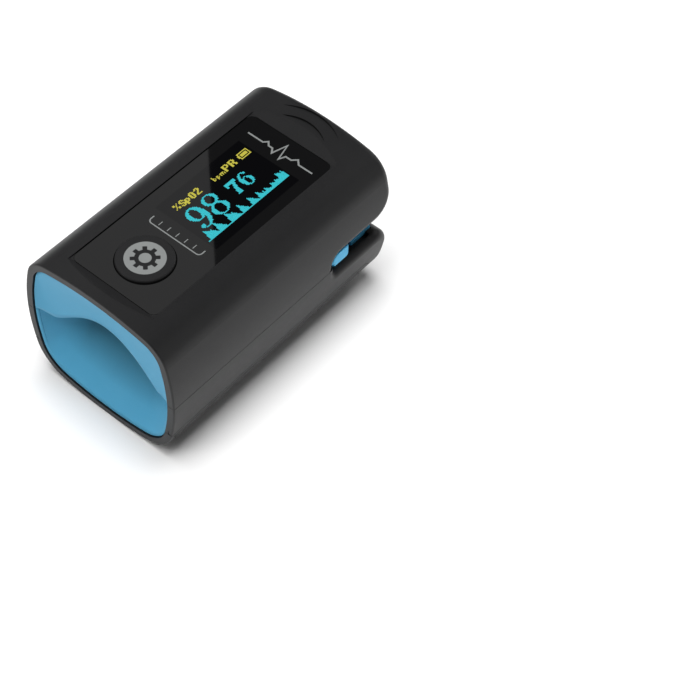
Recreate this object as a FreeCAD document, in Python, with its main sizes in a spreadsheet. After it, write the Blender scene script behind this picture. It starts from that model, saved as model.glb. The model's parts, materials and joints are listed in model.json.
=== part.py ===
import FreeCAD, Part
import math
import os
import re

import Sketcher
from FreeCAD import Vector

# Fingertip pulse oximeter. X is across the finger, Y runs from the finger opening (-Y)
# to the pinched tail (+Y), Z is up. The origin is under the middle of the case, at its base.
# The case is one oval tube: an upper half, a lower half and a battery cover share its outline.

doc = FreeCAD.newDocument("fingertip_oximeter")

sizes = {
    # case outline, seen along Y
    "caseLength": 60.0, "caseWidth": 35.8, "caseHeight": 32.5, "seamHeight": 16.6,
    "roofRadius": 58.0, "sideRadius": 40.0, "baseRadius": 56.0, "baseFlat": 0.15,
    "roofCorner": 6.4, "baseCorner": 8.2, "wall": 1.6, "seamGap": 0.1, "endWall": 1.7,
    # side profile
    "tipY": 12.75, "gapRoof": 19.0, "gapFloor": 14.5, "notchY": 13.3, "gapRound": 2.3,
    "notchRound": 0.7, "tailY": 29.8, "noseY": 29.3, "tailRound": 5.0, "noseRound": 3.8,
    "heelRound": 8.0, "rimRound": 0.35, "endRound": 1.6,
    # battery cover
    "coverTop": 8.0, "coverEnd": 25.0, "coverGap": 0.1, "coverRound": 2.2,
    "railTall": 0.9, "railX": 16.5, "railWidth": 0.6, "railFit": 0.1,
    # display lens and its seat
    "lensTop": 31.4, "lensThick": 1.1, "lensWidth": 19.7, "lensFront": -25.5, "lensRear": 21.2,
    "lensRound": 1.3, "lensGap": 0.12, "seatThick": 1.1, "tapeThick": 0.1, "tapeRim": 0.4,
    "rearSlope": 3.1, "frontSlope": 2.4, "slopeRise": 1.1, "seatWidth": 25.0, "seatMargin": 1.4,
    # grip grooves behind the lens
    "grooveDepth": 0.35, "grooveWidth": 0.9, "innerGrooveMid": 25.5, "innerGrooveHalf": 5.1,
    "innerGrooveSag": 1.2, "outerGrooveMid": 28.1, "outerGrooveHalf": 6.7, "outerGrooveSag": 1.6,
    # power button
    "buttonY": -17.35, "buttonRadius": 5.35, "buttonHole": 5.5, "buttonProud": 0.55,
    "buttonWall": 0.9, "buttonRim": 0.8, "buttonRimThick": 0.6, "buttonRound": 0.35,
    "buttonLift": 0.45, "stemRadius": 1.2, "crownThick": 1.1, "stemGap": 0.05,
    "plungerRadius": 1.0, "plungerTall": 0.55, "switchSide": 4.4, "switchTall": 1.3,
    # display panel
    "panelX": 0.15, "panelY": 3.55, "panelWidth": 16.8, "panelLength": 24.4, "panelThick": 1.4,
    "panelTop": 30.1, "panelRim": 1.2, "ribbonHalf": 4.5, "ribbonReach": 1.6, "ribbonFoot": 1.8,
    "ribbonDrop": 0.2,
    # main board
    "boardTop": 27.9, "boardThick": 0.8, "boardWidth": 24.0, "boardFront": -24.0,
    "boardRear": 21.0, "chipTall": 0.9, "passiveTall": 0.5, "buzzerRadius": 4.0,
    "buzzerTall": 1.8, "buzzerX": -6.0, "buzzerY": 6.0, "screwX": 10.3, "screwFront": -21.3,
    "screwRear": 14.5, "screwRadius": 0.6, "screwHead": 1.1, "screwLong": 2.6, "postRadius": 1.6,
    # finger channel between the two pads
    "channelHalf": 11.6, "channelTop": 22.4, "channelFloor": 14.9, "channelEnd": 9.3,
    "mouthEnd": -19.3, "lipEnd": -27.8, "mouthRim": 0.3, "padFront": -29.7, "padStop": 1.5,
    "skirtEnd": 17.6, "skirtTop": 20.5, "lowSkirtEnd": 17.0, "lowSkirtTop": 15.2,
    "skirtThick": 1.4, "padGap": 0.1, "webThick": 0.6,
    # frames that carry the pads
    "frameTop": 24.8, "frameUnder": 23.7, "trayTop": 13.6, "trayUnder": 12.7, "frameWall": 1.2,
    "frameHalf": 13.9, "frameFront": -23.0, "frameRear": 16.5, "cheekRear": 10.6,
    "cheekBase": 17.2, "trayRear": 14.7,
    # rear deck of the lower half
    "deckTop": 13.7, "deckUnder": 12.9, "deckFront": 14.9, "flapTop": 14.6, "flapFront": 18.4,
    "flapStep": 21.0, "flapEnd": 26.8, "flapHalf": 15.1, "flapNarrow": 14.3,
    # hinge
    "hingeY": 12.9, "hingeZ": 16.6, "pinRadius": 1.0, "pinHalf": 14.2, "earRadius": 1.9,
    "lowerEarIn": 12.7, "lowerEarOut": 13.8, "upperEarIn": 11.2, "upperEarOut": 12.5,
    "earFit": 0.05, "coilWire": 0.35, "coilRadius": 1.6, "coilStart": 7.0, "coilPitch": 0.8,
    "legLong": 4.2,
    # optics
    "opticY": 0.5, "ledSide": 1.1, "ledTall": 0.25, "sensorSide": 3.0, "sensorTall": 0.35,
    "opticBoard": 0.4, "opticSide": 6.0, "windowRadius": 3.0, "windowThick": 0.45,
    "flexHalf": 2.5, "flexThick": 0.15,
    # two small cells, side by side
    "cellRadius": 5.15, "cellLength": 43.7, "cellFront": -19.6, "cellZ": 7.35, "cellX": 5.45,
    "nubRadius": 1.9, "nubTall": 0.8, "contactThick": 0.3, "contactWire": 0.25,
    "contactPitch": 0.45, "rearShare": 0.65,
    "bayHalf": 11.2, "bayFront": -22.5, "bayRear": 26.9, "bayBase": 3.6, "bayWall": 1.0,
    "bayTail": 24.9, "bayTailBase": 5.2, "noseOfTray": 8.3, "trayRampEnd": -18.9,
}

sheet = doc.addObject("Spreadsheet::Sheet", "Sizes")
for row, (alias, size) in enumerate(sizes.items(), start=1):
    sheet.set("A%d" % row, alias)
    sheet.set("B%d" % row, str(size))
    sheet.setAlias("B%d" % row, alias)
doc.recompute()


# ---- helpers: expressions ----

def linked(text):
    """The text with each size's name pointing at its cell."""
    def cell(match):
        word = match.group()
        return "Sizes." + word if word in sizes else word
    return re.sub(r"[A-Za-z]\w*", cell, str(text))


def bind(item, prop, text):
    item.setExpression(prop, linked(text))


def number(text):
    """What an expression comes to now, worked out by the sheet itself."""
    sheet.set("D1", "=" + re.sub(r"Sizes\.", "", linked(text)))
    sheet.recompute()
    return float(sheet.get("D1"))


# ---- helpers: sketches and PartDesign features ----

def newBody(name):
    body = doc.addObject("PartDesign::Body", name)
    body.Label = name
    return body


def newSketch(body, role, offset):
    sketch = body.newObject("Sketcher::SketchObject", body.Name + "Sketch")
    for feature in body.Origin.OriginFeatures:
        if feature.Role == role:
            sketch.AttachmentSupport = [(feature, "")]
    sketch.MapMode = "FlatFace"
    bind(sketch, "AttachmentOffset.Base.z", offset)
    return sketch


def hold(sketch, curve, end, u, v):
    """Ties one point of a curve to its place, by two distances from the sketch's origin."""
    for kind, text in (("DistanceX", u), ("DistanceY", v)):
        index = sketch.addConstraint(
            Sketcher.Constraint(kind, -1, 1, curve, end, number(text)))
        bind(sketch, "Constraints[%d]" % index, text)


def polygon(*corners):
    def draw(sketch):
        spots = [Vector(number(u), number(v), 0) for u, v in corners]
        count = len(spots)
        first = sketch.GeometryCount
        for i in range(count):
            sketch.addGeometry(Part.LineSegment(spots[i], spots[(i + 1) % count]), False)
        for i, (u, v) in enumerate(corners):
            after = first + (i + 1) % count
            sketch.addConstraint(Sketcher.Constraint("Coincident", first + i, 2, after, 1))
            hold(sketch, first + i, 1, u, v)
    return draw


def rectangle(left, right, low, high):
    return polygon((left, low), (right, low), (right, high), (left, high))


def disc(u, v, radius):
    def draw(sketch):
        centre = Vector(number(u), number(v), 0)
        index = sketch.addGeometry(Part.Circle(centre, Vector(0, 0, 1), number(radius)), False)
        hold(sketch, index, 3, u, v)
        ring = sketch.addConstraint(Sketcher.Constraint("Radius", index, number(radius)))
        bind(sketch, "Constraints[%d]" % ring, radius)
    return draw


def caseOutline(inset="0"):
    """Eight tangent arcs: roof, base, two sides and four corners, all set in by the inset."""
    def draw(sketch):
        deep = number(inset)
        zs = sizes["seamHeight"]
        roof = Vector(0, sizes["caseHeight"] - sizes["roofRadius"], 0)
        base = Vector(0, sizes["baseRadius"] - sizes["baseFlat"], 0)
        reach = sizes["caseWidth"] / 2 - sizes["sideRadius"]
        rims = {}
        for side in (1, -1):
            flank = Vector(side * reach, zs, 0)
            for name, hub, hubRadius, corner in (
                    ("roof", roof, sizes["roofRadius"], sizes["roofCorner"]),
                    ("base", base, sizes["baseRadius"], sizes["baseCorner"])):
                spot = meeting(hub, hubRadius - corner, flank, sizes["sideRadius"] - corner, side)
                rims[name, side] = spot
        arcs = []
        for side in (1, -1):
            flank = Vector(side * reach, zs, 0)
            for name in ("roof", "base"):
                hub = roof if name == "roof" else base
                spot = rims[name, side]
                radius = sizes[name + "Corner"] - deep
                arcs.append((name + "Corner", arcBetween(spot, radius, spot - hub, spot - flank)))
            arcs.append(("sideRadius", arcBetween(flank, sizes["sideRadius"] - deep,
                                                  rims["base", side] - flank,
                                                  rims["roof", side] - flank)))
        arcs.append(("roofRadius", arcBetween(roof, sizes["roofRadius"] - deep,
                                              rims["roof", 1] - roof, rims["roof", -1] - roof)))
        arcs.append(("baseRadius", arcBetween(base, sizes["baseRadius"] - deep,
                                              rims["base", 1] - base, rims["base", -1] - base)))
        for name, arc in arcs:
            index = sketch.addGeometry(arc, False)
            ring = sketch.addConstraint(Sketcher.Constraint("Radius", index, arc.Radius))
            bind(sketch, "Constraints[%d]" % ring, "%s - (%s)" % (name, inset))
        joinEnds(sketch, len(arcs))
        reachText = "caseWidth / 2 - sideRadius"
        hold(sketch, 2, 3, reachText, "seamHeight")
        hold(sketch, 5, 3, "-(%s)" % reachText, "seamHeight")
        hold(sketch, 6, 3, "0", "caseHeight - roofRadius")
        hold(sketch, 7, 3, "0", "baseRadius - baseFlat")
    return draw


def meeting(first, firstRadius, second, secondRadius, side):
    """Where two circles cross, on the side of +X or -X that is asked for."""
    span = second - first
    gap = span.Length
    along = (firstRadius ** 2 - secondRadius ** 2 + gap ** 2) / (2 * gap)
    across = math.sqrt(firstRadius ** 2 - along ** 2)
    foot = first + span * (along / gap)
    normal = Vector(-span.y, span.x, 0) / gap
    spots = [foot + normal * across, foot - normal * across]
    return max(spots, key=lambda spot: spot.x * side)


def arcBetween(centre, radius, start, end):
    """The short arc about a centre, from one direction to another."""
    a = math.atan2(start.y, start.x)
    b = math.atan2(end.y, end.x)
    turn = (b - a) % (2 * math.pi)
    if turn > math.pi:
        a, b = b, a
        turn = 2 * math.pi - turn
    circle = Part.Circle(centre, Vector(0, 0, 1), radius)
    return Part.ArcOfCircle(circle, a, a + turn)


def joinEnds(sketch, count):
    """Makes each pair of arc ends that meet tangent to each other."""
    ends = []
    for i in range(count):
        for end in (1, 2):
            ends.append((i, end, sketch.getPoint(i, end)))
    for n, (i, end, spot) in enumerate(ends):
        for j, other, place in ends[n + 1:]:
            if i != j and (spot - place).Length < 1e-4:
                sketch.addConstraint(Sketcher.Constraint("Tangent", i, end, j, other))


def pad(body, role, low, high, *draws):
    """Adds the drawn shape, from low to high along the axis that the plane faces."""
    back = role == "XZ_Plane"
    sketch = newSketch(body, role, "-(%s)" % high if back else low)
    for draw in draws:
        draw(sketch)
    doc.recompute()
    feature = body.newObject("PartDesign::Pad", body.Name + "Pad")
    feature.Profile = sketch
    bind(feature, "Length", "(%s) - (%s)" % (high, low))
    doc.recompute()
    return feature


def pocket(body, role, low, high, *draws):
    """Cuts the drawn shape away, from low to high, and makes sure that it cut."""
    back = role == "XZ_Plane"
    before = body.Shape.Volume
    sketch = newSketch(body, role, "-(%s)" % low if back else high)
    for draw in draws:
        draw(sketch)
    doc.recompute()
    feature = body.newObject("PartDesign::Pocket", body.Name + "Pocket")
    feature.Profile = sketch
    bind(feature, "Length", "(%s) - (%s)" % (high, low))
    doc.recompute()
    if not body.Shape.Volume < before - 1e-3:
        raise RuntimeError("a pocket in %s cuts nothing: %s" % (body.Label,
                                                                feature.getStatusString()))
    return feature


def fillet(body, radius, test, kind="Fillet"):
    """Rounds, or chamfers, the edges that pass the test."""
    base = body.Tip
    names = ["Edge%d" % (i + 1) for i, edge in enumerate(base.Shape.Edges) if test(edge)]
    if not names:
        raise RuntimeError("no edge to round in %s" % body.Label)
    feature = body.newObject("PartDesign::" + kind, body.Name + kind)
    feature.Base = (base, names)
    bind(feature, "Radius" if kind == "Fillet" else "Size", radius)
    doc.recompute()
    return feature


def turned(body, corners, role="XZ_Plane"):
    """A solid of revolution about the sketch's vertical axis."""
    sketch = newSketch(body, role, "0")
    polygon(*corners)(sketch)
    doc.recompute()
    feature = body.newObject("PartDesign::Revolution", body.Name + "Turned")
    feature.Profile = sketch
    feature.ReferenceAxis = (sketch, ["V_Axis"])
    feature.Angle = 360.0
    doc.recompute()
    return feature


def acrossAt(y, z):
    """A test for straight edges along X at one place of the side profile."""
    yy, zz = number(y), number(z)

    def test(edge):
        box = edge.BoundBox
        return (box.YLength < 0.02 and box.ZLength < 0.02 and
                abs(box.YMin - yy) < 0.02 and abs(box.ZMin - zz) < 0.02)
    return test


def flatAtY(y):
    """A test for edges that lie in the plane of one end."""
    yy = number(y)

    def test(edge):
        return edge.BoundBox.YLength < 0.02 and abs(edge.BoundBox.YMin - yy) < 0.02
    return test


# ---- helpers: Part primitives ----

def block(name, x, y, z):
    """A box between three pairs of limits."""
    box = doc.addObject("Part::Box", name)
    for side, axis, (low, high) in zip(("Length", "Width", "Height"), "xyz", (x, y, z)):
        bind(box, side, "(%s) - (%s)" % (high, low))
        bind(box, "Placement.Base." + axis, low)
    return box


def rod(name, radius, length, spot, axis="z"):
    """A cylinder from a spot along one axis."""
    cylinder = doc.addObject("Part::Cylinder", name)
    bind(cylinder, "Radius", radius)
    bind(cylinder, "Height", length)
    if axis == "x":
        cylinder.Placement.Rotation = FreeCAD.Rotation(Vector(0, 1, 0), 90)
    if axis == "y":
        cylinder.Placement.Rotation = FreeCAD.Rotation(Vector(1, 0, 0), -90)
    for letter, text in zip("xyz", spot):
        bind(cylinder, "Placement.Base." + letter, text)
    return cylinder


def cut(name, base, *tools):
    for i, tool in enumerate(tools):
        part = doc.addObject("Part::Cut", "%sCut%d" % (name, i))
        part.Base = base
        part.Tool = tool
        base = part
    base.Label = name
    return base


def fuse(name, *shapes):
    part = doc.addObject("Part::MultiFuse", name)
    part.Shapes = list(shapes)
    part.Label = name
    return part


def group(name, *shapes):
    part = doc.addObject("Part::Compound", name)
    part.Links = list(shapes)
    part.Label = name
    return part


def ring(name, radius, wire, spot, axis="x"):
    torus = doc.addObject("Part::Torus", name)
    bind(torus, "Radius1", radius)
    bind(torus, "Radius2", wire)
    if axis == "x":
        torus.Placement.Rotation = FreeCAD.Rotation(Vector(0, 1, 0), 90)
    if axis == "y":
        torus.Placement.Rotation = FreeCAD.Rotation(Vector(1, 0, 0), -90)
    for letter, text in zip("xyz", spot):
        bind(torus, "Placement.Base." + letter, text)
    return torus


nodes = []


def keep(part, name=None):
    """Hands a finished sub-part in under its own name."""
    if name:
        part.Label = name
    nodes.append(part)
    return part


# ---- casings ----

def groove(body, mid, half, sag):
    """A shallow crescent in the roof: two arcs that meet in points, bulging to the rear."""
    def draw(sketch):
        tip = number("%s - %s" % (mid, sag))
        wide = number(half)
        for bulge, name in ((number(mid) + sizes["grooveWidth"] / 2, "outer"),
                            (number(mid) - sizes["grooveWidth"] / 2, "inner")):
            arc = Part.Arc(Vector(wide, tip, 0), Vector(0, bulge, 0), Vector(-wide, tip, 0))
            sketch.addGeometry(arc, False)
        for end in (1, 2):
            sketch.addConstraint(Sketcher.Constraint("Coincident", 0, end, 1, end))
        hold(sketch, 0, 1, half, "%s - %s" % (mid, sag))
        hold(sketch, 0, 2, "-(%s)" % half, "%s - %s" % (mid, sag))
        for curve, step in ((0, "+"), (1, "-")):
            hump = "((%s) %s grooveWidth / 2)" % (sag, step)
            text = "((%s) ^ 2 + %s ^ 2) / (2 * %s)" % (half, hump, hump)
            index = sketch.addConstraint(Sketcher.Constraint("Radius", curve, number(text)))
            bind(sketch, "Constraints[%d]" % index, text)
    return pocket(body, "XY_Plane", "caseHeight - grooveDepth - 0.1", "caseHeight + 1", draw)


def topShell():
    body = newBody("top_shell")
    pad(body, "XZ_Plane", "-caseLength / 2", "tailY", caseOutline())
    under = "seamHeight + seamGap / 2"
    pocket(body, "YZ_Plane", "-caseWidth", "caseWidth", polygon(
        ("-caseLength", "-5"), ("-caseLength", under), ("tipY", under), ("tipY", "gapRoof"),
        ("caseLength", "gapRoof"), ("caseLength", "-5")))
    fillet(body, "gapRound", acrossAt("tipY", "gapRoof"))
    fillet(body, "tailRound", acrossAt("tailY", "gapRoof"))
    fillet(body, "endRound", flatAtY("tailY"))
    fillet(body, "rimRound", lambda edge: flatAtY("-caseLength / 2")(edge)
           and edge.BoundBox.ZMax > number(under) + 0.1)
    pocket(body, "XZ_Plane", "-caseLength", "tailY - endWall", caseOutline("wall"))
    pad(body, "XY_Plane", "lensTop - lensThick - tapeThick - seatThick",
        "lensTop - lensThick - tapeThick",
        rectangle("-seatWidth / 2", "seatWidth / 2", "lensFront - seatMargin",
                  "lensRear + seatMargin"))
    half = "(lensWidth / 2 + lensGap)"
    rise = "lensTop + slopeRise"
    pocket(body, "YZ_Plane", "-" + half, half, polygon(
        ("lensFront - lensGap", "lensTop - lensThick - tapeThick"),
        ("lensRear + lensGap", "lensTop - lensThick - tapeThick"),
        ("lensRear + lensGap", "lensTop"), ("lensRear + rearSlope", rise),
        ("lensFront - frontSlope", rise), ("lensFront - lensGap", "lensTop")))
    pocket(body, "XY_Plane", "gapRoof", "lensTop",
           rectangle("panelX - panelWidth / 2 - 0.2", "panelX + panelWidth / 2 + 0.2",
                     "panelY - panelLength / 2 - 0.2", "panelY + panelLength / 2 + 0.2"),
           disc("0", "buttonY", "buttonHole"))
    groove(body, "innerGrooveMid", "innerGrooveHalf", "innerGrooveSag")
    groove(body, "outerGrooveMid", "outerGrooveHalf", "outerGrooveSag")
    return keep(body)


def heel(body):
    """Rounds the lower rear corner of the side profile."""
    def draw(sketch):
        bend = sizes["heelRound"]
        hub = Vector(sizes["noseY"] - bend, bend, 0)
        circle = Part.Circle(hub, Vector(0, 0, 1), bend)
        sketch.addGeometry(Part.ArcOfCircle(circle, -math.pi / 2, 0), False)
        over = hub + Vector(bend + 1, 0, 0)
        under = Vector(over.x, -1, 0)
        corners = [hub + Vector(bend, 0, 0), over, under, Vector(hub.x, -1, 0),
                   hub - Vector(0, bend, 0)]
        for start, end in zip(corners, corners[1:]):
            sketch.addGeometry(Part.LineSegment(start, end), False)
        for curve, end, other, start in ((0, 2, 1, 1), (1, 2, 2, 1), (2, 2, 3, 1), (3, 2, 4, 1),
                                         (4, 2, 0, 1)):
            sketch.addConstraint(Sketcher.Constraint("Coincident", curve, end, other, start))
        hold(sketch, 0, 3, "noseY - heelRound", "heelRound")
        hold(sketch, 1, 1, "noseY", "heelRound")
        hold(sketch, 2, 1, "noseY + 1", "heelRound")
        hold(sketch, 3, 1, "noseY + 1", "-1")
        hold(sketch, 4, 1, "noseY - heelRound", "-1")
        sketch.addConstraint(Sketcher.Constraint("Vertical", 4))
    return pocket(body, "YZ_Plane", "-caseWidth", "caseWidth", draw)


def bottomShell():
    body = newBody("bottom_shell")
    pad(body, "XZ_Plane", "-caseLength / 2", "noseY", caseOutline())
    over = "seamHeight - seamGap / 2"
    pocket(body, "YZ_Plane", "-caseWidth", "caseWidth", polygon(
        ("-caseLength", "caseHeight + 5"), ("-caseLength", over), ("notchY", over),
        ("notchY", "gapFloor"), ("caseLength", "gapFloor"), ("caseLength", "caseHeight + 5")))
    fillet(body, "notchRound", acrossAt("notchY", "gapFloor"))
    fillet(body, "noseRound", acrossAt("noseY", "gapFloor"))
    heel(body)
    fillet(body, "endRound", flatAtY("noseY"))
    fillet(body, "rimRound", lambda edge: flatAtY("-caseLength / 2")(edge)
           and edge.BoundBox.ZMin < number(over) - 0.1)
    pocket(body, "XZ_Plane", "-caseLength", "bayTail + 0.2", caseOutline("wall"))
    pocket(body, "XZ_Plane", "bayTail", "noseY - endWall",
           rectangle("-bayHalf - bayWall - 0.3", "bayHalf + bayWall + 0.3", "bayTailBase - 0.2",
                     "deckUnder"))
    flap = "(flapHalf + padGap)"
    pocket(body, "XY_Plane", "deckTop", "gapFloor + 1",
           rectangle("-" + flap, flap, "bayTail", "flapEnd + padGap"))
    pad(body, "XY_Plane", "deckUnder", "deckTop",
        rectangle("-caseWidth / 2 + wall / 2", "caseWidth / 2 - wall / 2", "deckFront",
                  "bayTail + 0.5"))
    pocket(body, "YZ_Plane", "-caseWidth", "caseWidth",
           rectangle("-caseLength", "coverEnd", "-5", "coverTop"))
    fillet(body, "coverRound", acrossAt("coverEnd", "coverTop"))
    slot = "(railWidth / 2 + railFit)"
    pocket(body, "XZ_Plane", "-caseLength / 2 - 1", "coverEnd - coverRound",
           rectangle("railX - " + slot, "railX + " + slot, "coverTop - 1",
                     "coverTop + railTall"),
           rectangle("-railX - " + slot, "-railX + " + slot, "coverTop - 1",
                     "coverTop + railTall"))
    return keep(body)


def batteryCover():
    """The cover takes in the whole base, with a flat strip to stand on. Its tongues run in the
    lower half's grooves."""
    body = newBody("battery_cover")
    pad(body, "XZ_Plane", "-caseLength / 2", "noseY", caseOutline())
    heel(body)
    pocket(body, "YZ_Plane", "-caseWidth", "caseWidth",
           rectangle("-caseLength", "caseLength", "-1", "0"))
    fillet(body, "rimRound", flatAtY("-caseLength / 2"))
    pocket(body, "XZ_Plane", "-caseLength", "caseLength", caseOutline("wall"))
    top = "coverTop - coverGap"
    pocket(body, "YZ_Plane", "-caseWidth", "caseWidth", polygon(
        ("-caseLength", top), ("coverEnd - coverGap", top), ("coverEnd - coverGap", "-5"),
        ("caseLength", "-5"), ("caseLength", "caseHeight + 5"),
        ("-caseLength", "caseHeight + 5")))
    fillet(body, "coverRound", acrossAt("coverEnd - coverGap", top))
    for side in (1, -1):
        left = "%d * railX - railWidth / 2" % side
        pad(body, "XZ_Plane", "-caseLength / 2 + 1", "coverEnd - coverRound - 1",
            rectangle(left, left + " + railWidth", "coverTop - 1.5",
                      "coverTop + railTall - railFit"))
    return keep(body)


# ---- lens, display and button ----

def displayLens():
    body = newBody("display_lens")
    pad(body, "XY_Plane", "lensTop - lensThick", "lensTop",
        rectangle("-lensWidth / 2", "lensWidth / 2", "lensFront", "lensRear"),
        disc("0", "buttonY", "buttonHole"))
    fillet(body, "lensRound", lambda edge: edge.BoundBox.ZLength > 0.5
           and edge.BoundBox.DiagonalLength < number("lensThick") + 0.1)
    return keep(body)


def lensTape():
    body = newBody("lens_tape")
    pad(body, "XY_Plane", "lensTop - lensThick - tapeThick", "lensTop - lensThick",
        rectangle("tapeRim - lensWidth / 2", "lensWidth / 2 - tapeRim", "lensFront + tapeRim",
                  "lensRear - tapeRim"),
        rectangle("panelX - panelWidth / 2", "panelX + panelWidth / 2",
                  "panelY - panelLength / 2", "panelY + panelLength / 2"),
        disc("0", "buttonY", "buttonHole + 0.3"))
    return keep(body)


def powerButton():
    body = newBody("power_button")
    base = "boardTop + buttonLift"
    rim = "buttonRadius + buttonRim"
    inside = "buttonRadius - buttonWall"
    stem = "boardTop + switchTall + plungerTall + stemGap"
    top = "lensTop + buttonProud"
    ceiling = top + " - crownThick"
    turned(body, [
        ("0", stem), ("stemRadius", stem), ("stemRadius", ceiling), (inside, ceiling),
        (inside, base), (rim, base), (rim, base + " + buttonRimThick"),
        ("buttonRadius", base + " + buttonRimThick"), ("buttonRadius", top), ("0", top)])
    crown = number(top)
    fillet(body, "buttonRound", lambda edge: edge.BoundBox.ZLength < 0.02
           and abs(edge.BoundBox.ZMax - crown) < 0.02 and edge.BoundBox.XLength > 5)
    bind(body, "Placement.Base.y", "buttonY")
    return keep(body)


def switchParts():
    side = "switchSide / 2"
    shell = block("switchShell", ("-" + side, side), ("buttonY - " + side, "buttonY + " + side),
                  ("boardTop", "boardTop + switchTall"))
    well = rod("switchWell", "plungerRadius + 0.05", "switchTall",
               ("0", "buttonY", "boardTop + 0.4"))
    keep(cut("tact_switch", shell, well))
    keep(rod("switch_plunger", "plungerRadius", "switchTall + plungerTall - 0.8",
             ("0", "buttonY", "boardTop + 0.8")))


def displayParts():
    left, right = "panelX - panelWidth / 2", "panelX + panelWidth / 2"
    front, rear = "panelY - panelLength / 2", "panelY + panelLength / 2"
    under = "panelTop - panelThick"
    keep(block("oled_panel", (left, right), (front, rear), (under, "panelTop")))
    frame = block("gasketFrame", (left, right), (front, rear), ("boardTop", under))
    inner = block("gasketInner", (left + " + panelRim", right + " - panelRim"),
                  (front + " + panelRim", rear + " - panelRim"), ("boardTop - 1", "panelTop"))
    keep(cut("display_gasket", frame, inner))
    across = ("-ribbonHalf", "ribbonHalf")
    fold = rear + " + ribbonReach"
    low = under + " + ribbonDrop"
    keep(fuse("display_flex",
              block("ribbonOut", across, (rear, fold), (low, low + " + flexThick")),
              block("ribbonDown", across, (fold + " - flexThick", fold),
                    ("boardTop", low + " + flexThick")),
              block("ribbonEnd", across, (fold + " - flexThick", fold + " + ribbonFoot"),
                    ("boardTop", "boardTop + flexThick"))))


def boardParts():
    half = "boardWidth / 2"
    under = "boardTop - boardThick"
    blank = block("boardBlank", ("-" + half, half), ("boardFront", "boardRear"),
                  (under, "boardTop"))
    holes = []
    screws = []
    for i, (side, y) in enumerate([(s, y) for s in (1, -1) for y in ("screwFront", "screwRear")]):
        x = "%d * screwX" % side
        holes.append(rod("boardHole%d" % i, "screwRadius + 0.05", "boardThick + 2",
                         (x, y, under + " - 1")))
        shank = rod("screwShank%d" % i, "screwRadius", "screwLong",
                    (x, y, "boardTop + 0.05 - screwLong"))
        head = rod("screwHead%d" % i, "screwHead", "0.6", (x, y, "boardTop"))
        drive = block("screwDrive%d" % i, (x + " - 0.7", x + " + 0.7"),
                      (y + " - 0.12", y + " + 0.12"), ("boardTop + 0.35", "boardTop + 1"))
        screws.append(cut("screw%d" % i, fuse("screwBody%d" % i, shank, head), drive))
    keep(cut("main_board", blank, *holes))
    keep(group("board_screws", *screws))
    # middle, width and length of each chip under the board, and its height
    layout = [("processor", 0, -9, 7, 7, "chipTall"), ("amplifier", 6, 2, 5, 4, "chipTall"),
              ("regulator", 5.5, 9.5, 3, 3, "chipTall")]
    for i in range(6):
        layout.append(("passive%d" % i, -7.8, -14.65 + 1.6 * i, 1.2, 0.7, "passiveTall"))
    chips = [block(name, (str(x - wide / 2), str(x + wide / 2)),
                   (str(y - long / 2), str(y + long / 2)), (under + " - " + tall, under))
             for name, x, y, wide, long, tall in layout]
    keep(group("board_chips", *chips))
    keep(rod("buzzer", "buzzerRadius", "buzzerTall", ("buzzerX", "buzzerY",
                                                      under + " - buzzerTall")))


# ---- frames and hinge ----

def ear(name, side, inner, outer, toward):
    """A hinge ear: a round end about the pin and a web up or down to its frame."""
    x = ("%s" % inner, "%s" % outer) if side > 0 else ("-(%s)" % outer, "-(%s)" % inner)
    knuckle = rod(name + "Knuckle", "earRadius", "%s - %s" % (outer, inner),
                  (x[0], "hingeY", "hingeZ"), "x")
    limits = ("hingeZ", toward) if number(toward) > number("hingeZ") else (toward, "hingeZ")
    web = block(name + "Web", x, ("hingeY - earRadius", "hingeY + earRadius"), limits)
    return [knuckle, web]


def upperFrame():
    half = "frameHalf"
    pieces = [block("upperPlate", ("-" + half, half), ("frameFront", "frameRear"),
                    ("frameUnder", "frameTop"))]
    for side in (1, -1):
        x = ("frameHalf - frameWall", half) if side > 0 else ("-" + half, "frameWall - frameHalf")
        pieces.append(block("upperCheek%d" % (side + 1), x, ("frameFront", "cheekRear"),
                            ("cheekBase", "frameTop")))
        pieces += ear("upperEar%d" % (side + 1), side, "upperEarIn", "upperEarOut", "frameUnder")
        for y in ("screwFront", "screwRear"):
            pieces.append(rod("post%s%d" % (y, side + 1), "postRadius",
                              "boardTop - boardThick - frameTop + 0.5",
                              ("%d * screwX" % side, y, "frameTop - 0.5")))
    bores = [rod("upperBore", "pinRadius + earFit", "2 * pinHalf",
                 ("-pinHalf", "hingeY", "hingeZ"), "x")]
    for side in (1, -1):
        for y in ("screwFront", "screwRear"):
            bores.append(rod("pilot%s%d" % (y, side + 1), "screwRadius", "screwLong",
                             ("%d * screwX" % side, y, "boardTop - screwLong")))
    bores.append(rod("opticHole", "1.5", "3", ("0", "opticY", "frameUnder - 1")))
    keep(cut("upper_frame", fuse("upperFrameBody", *pieces), *bores))


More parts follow.
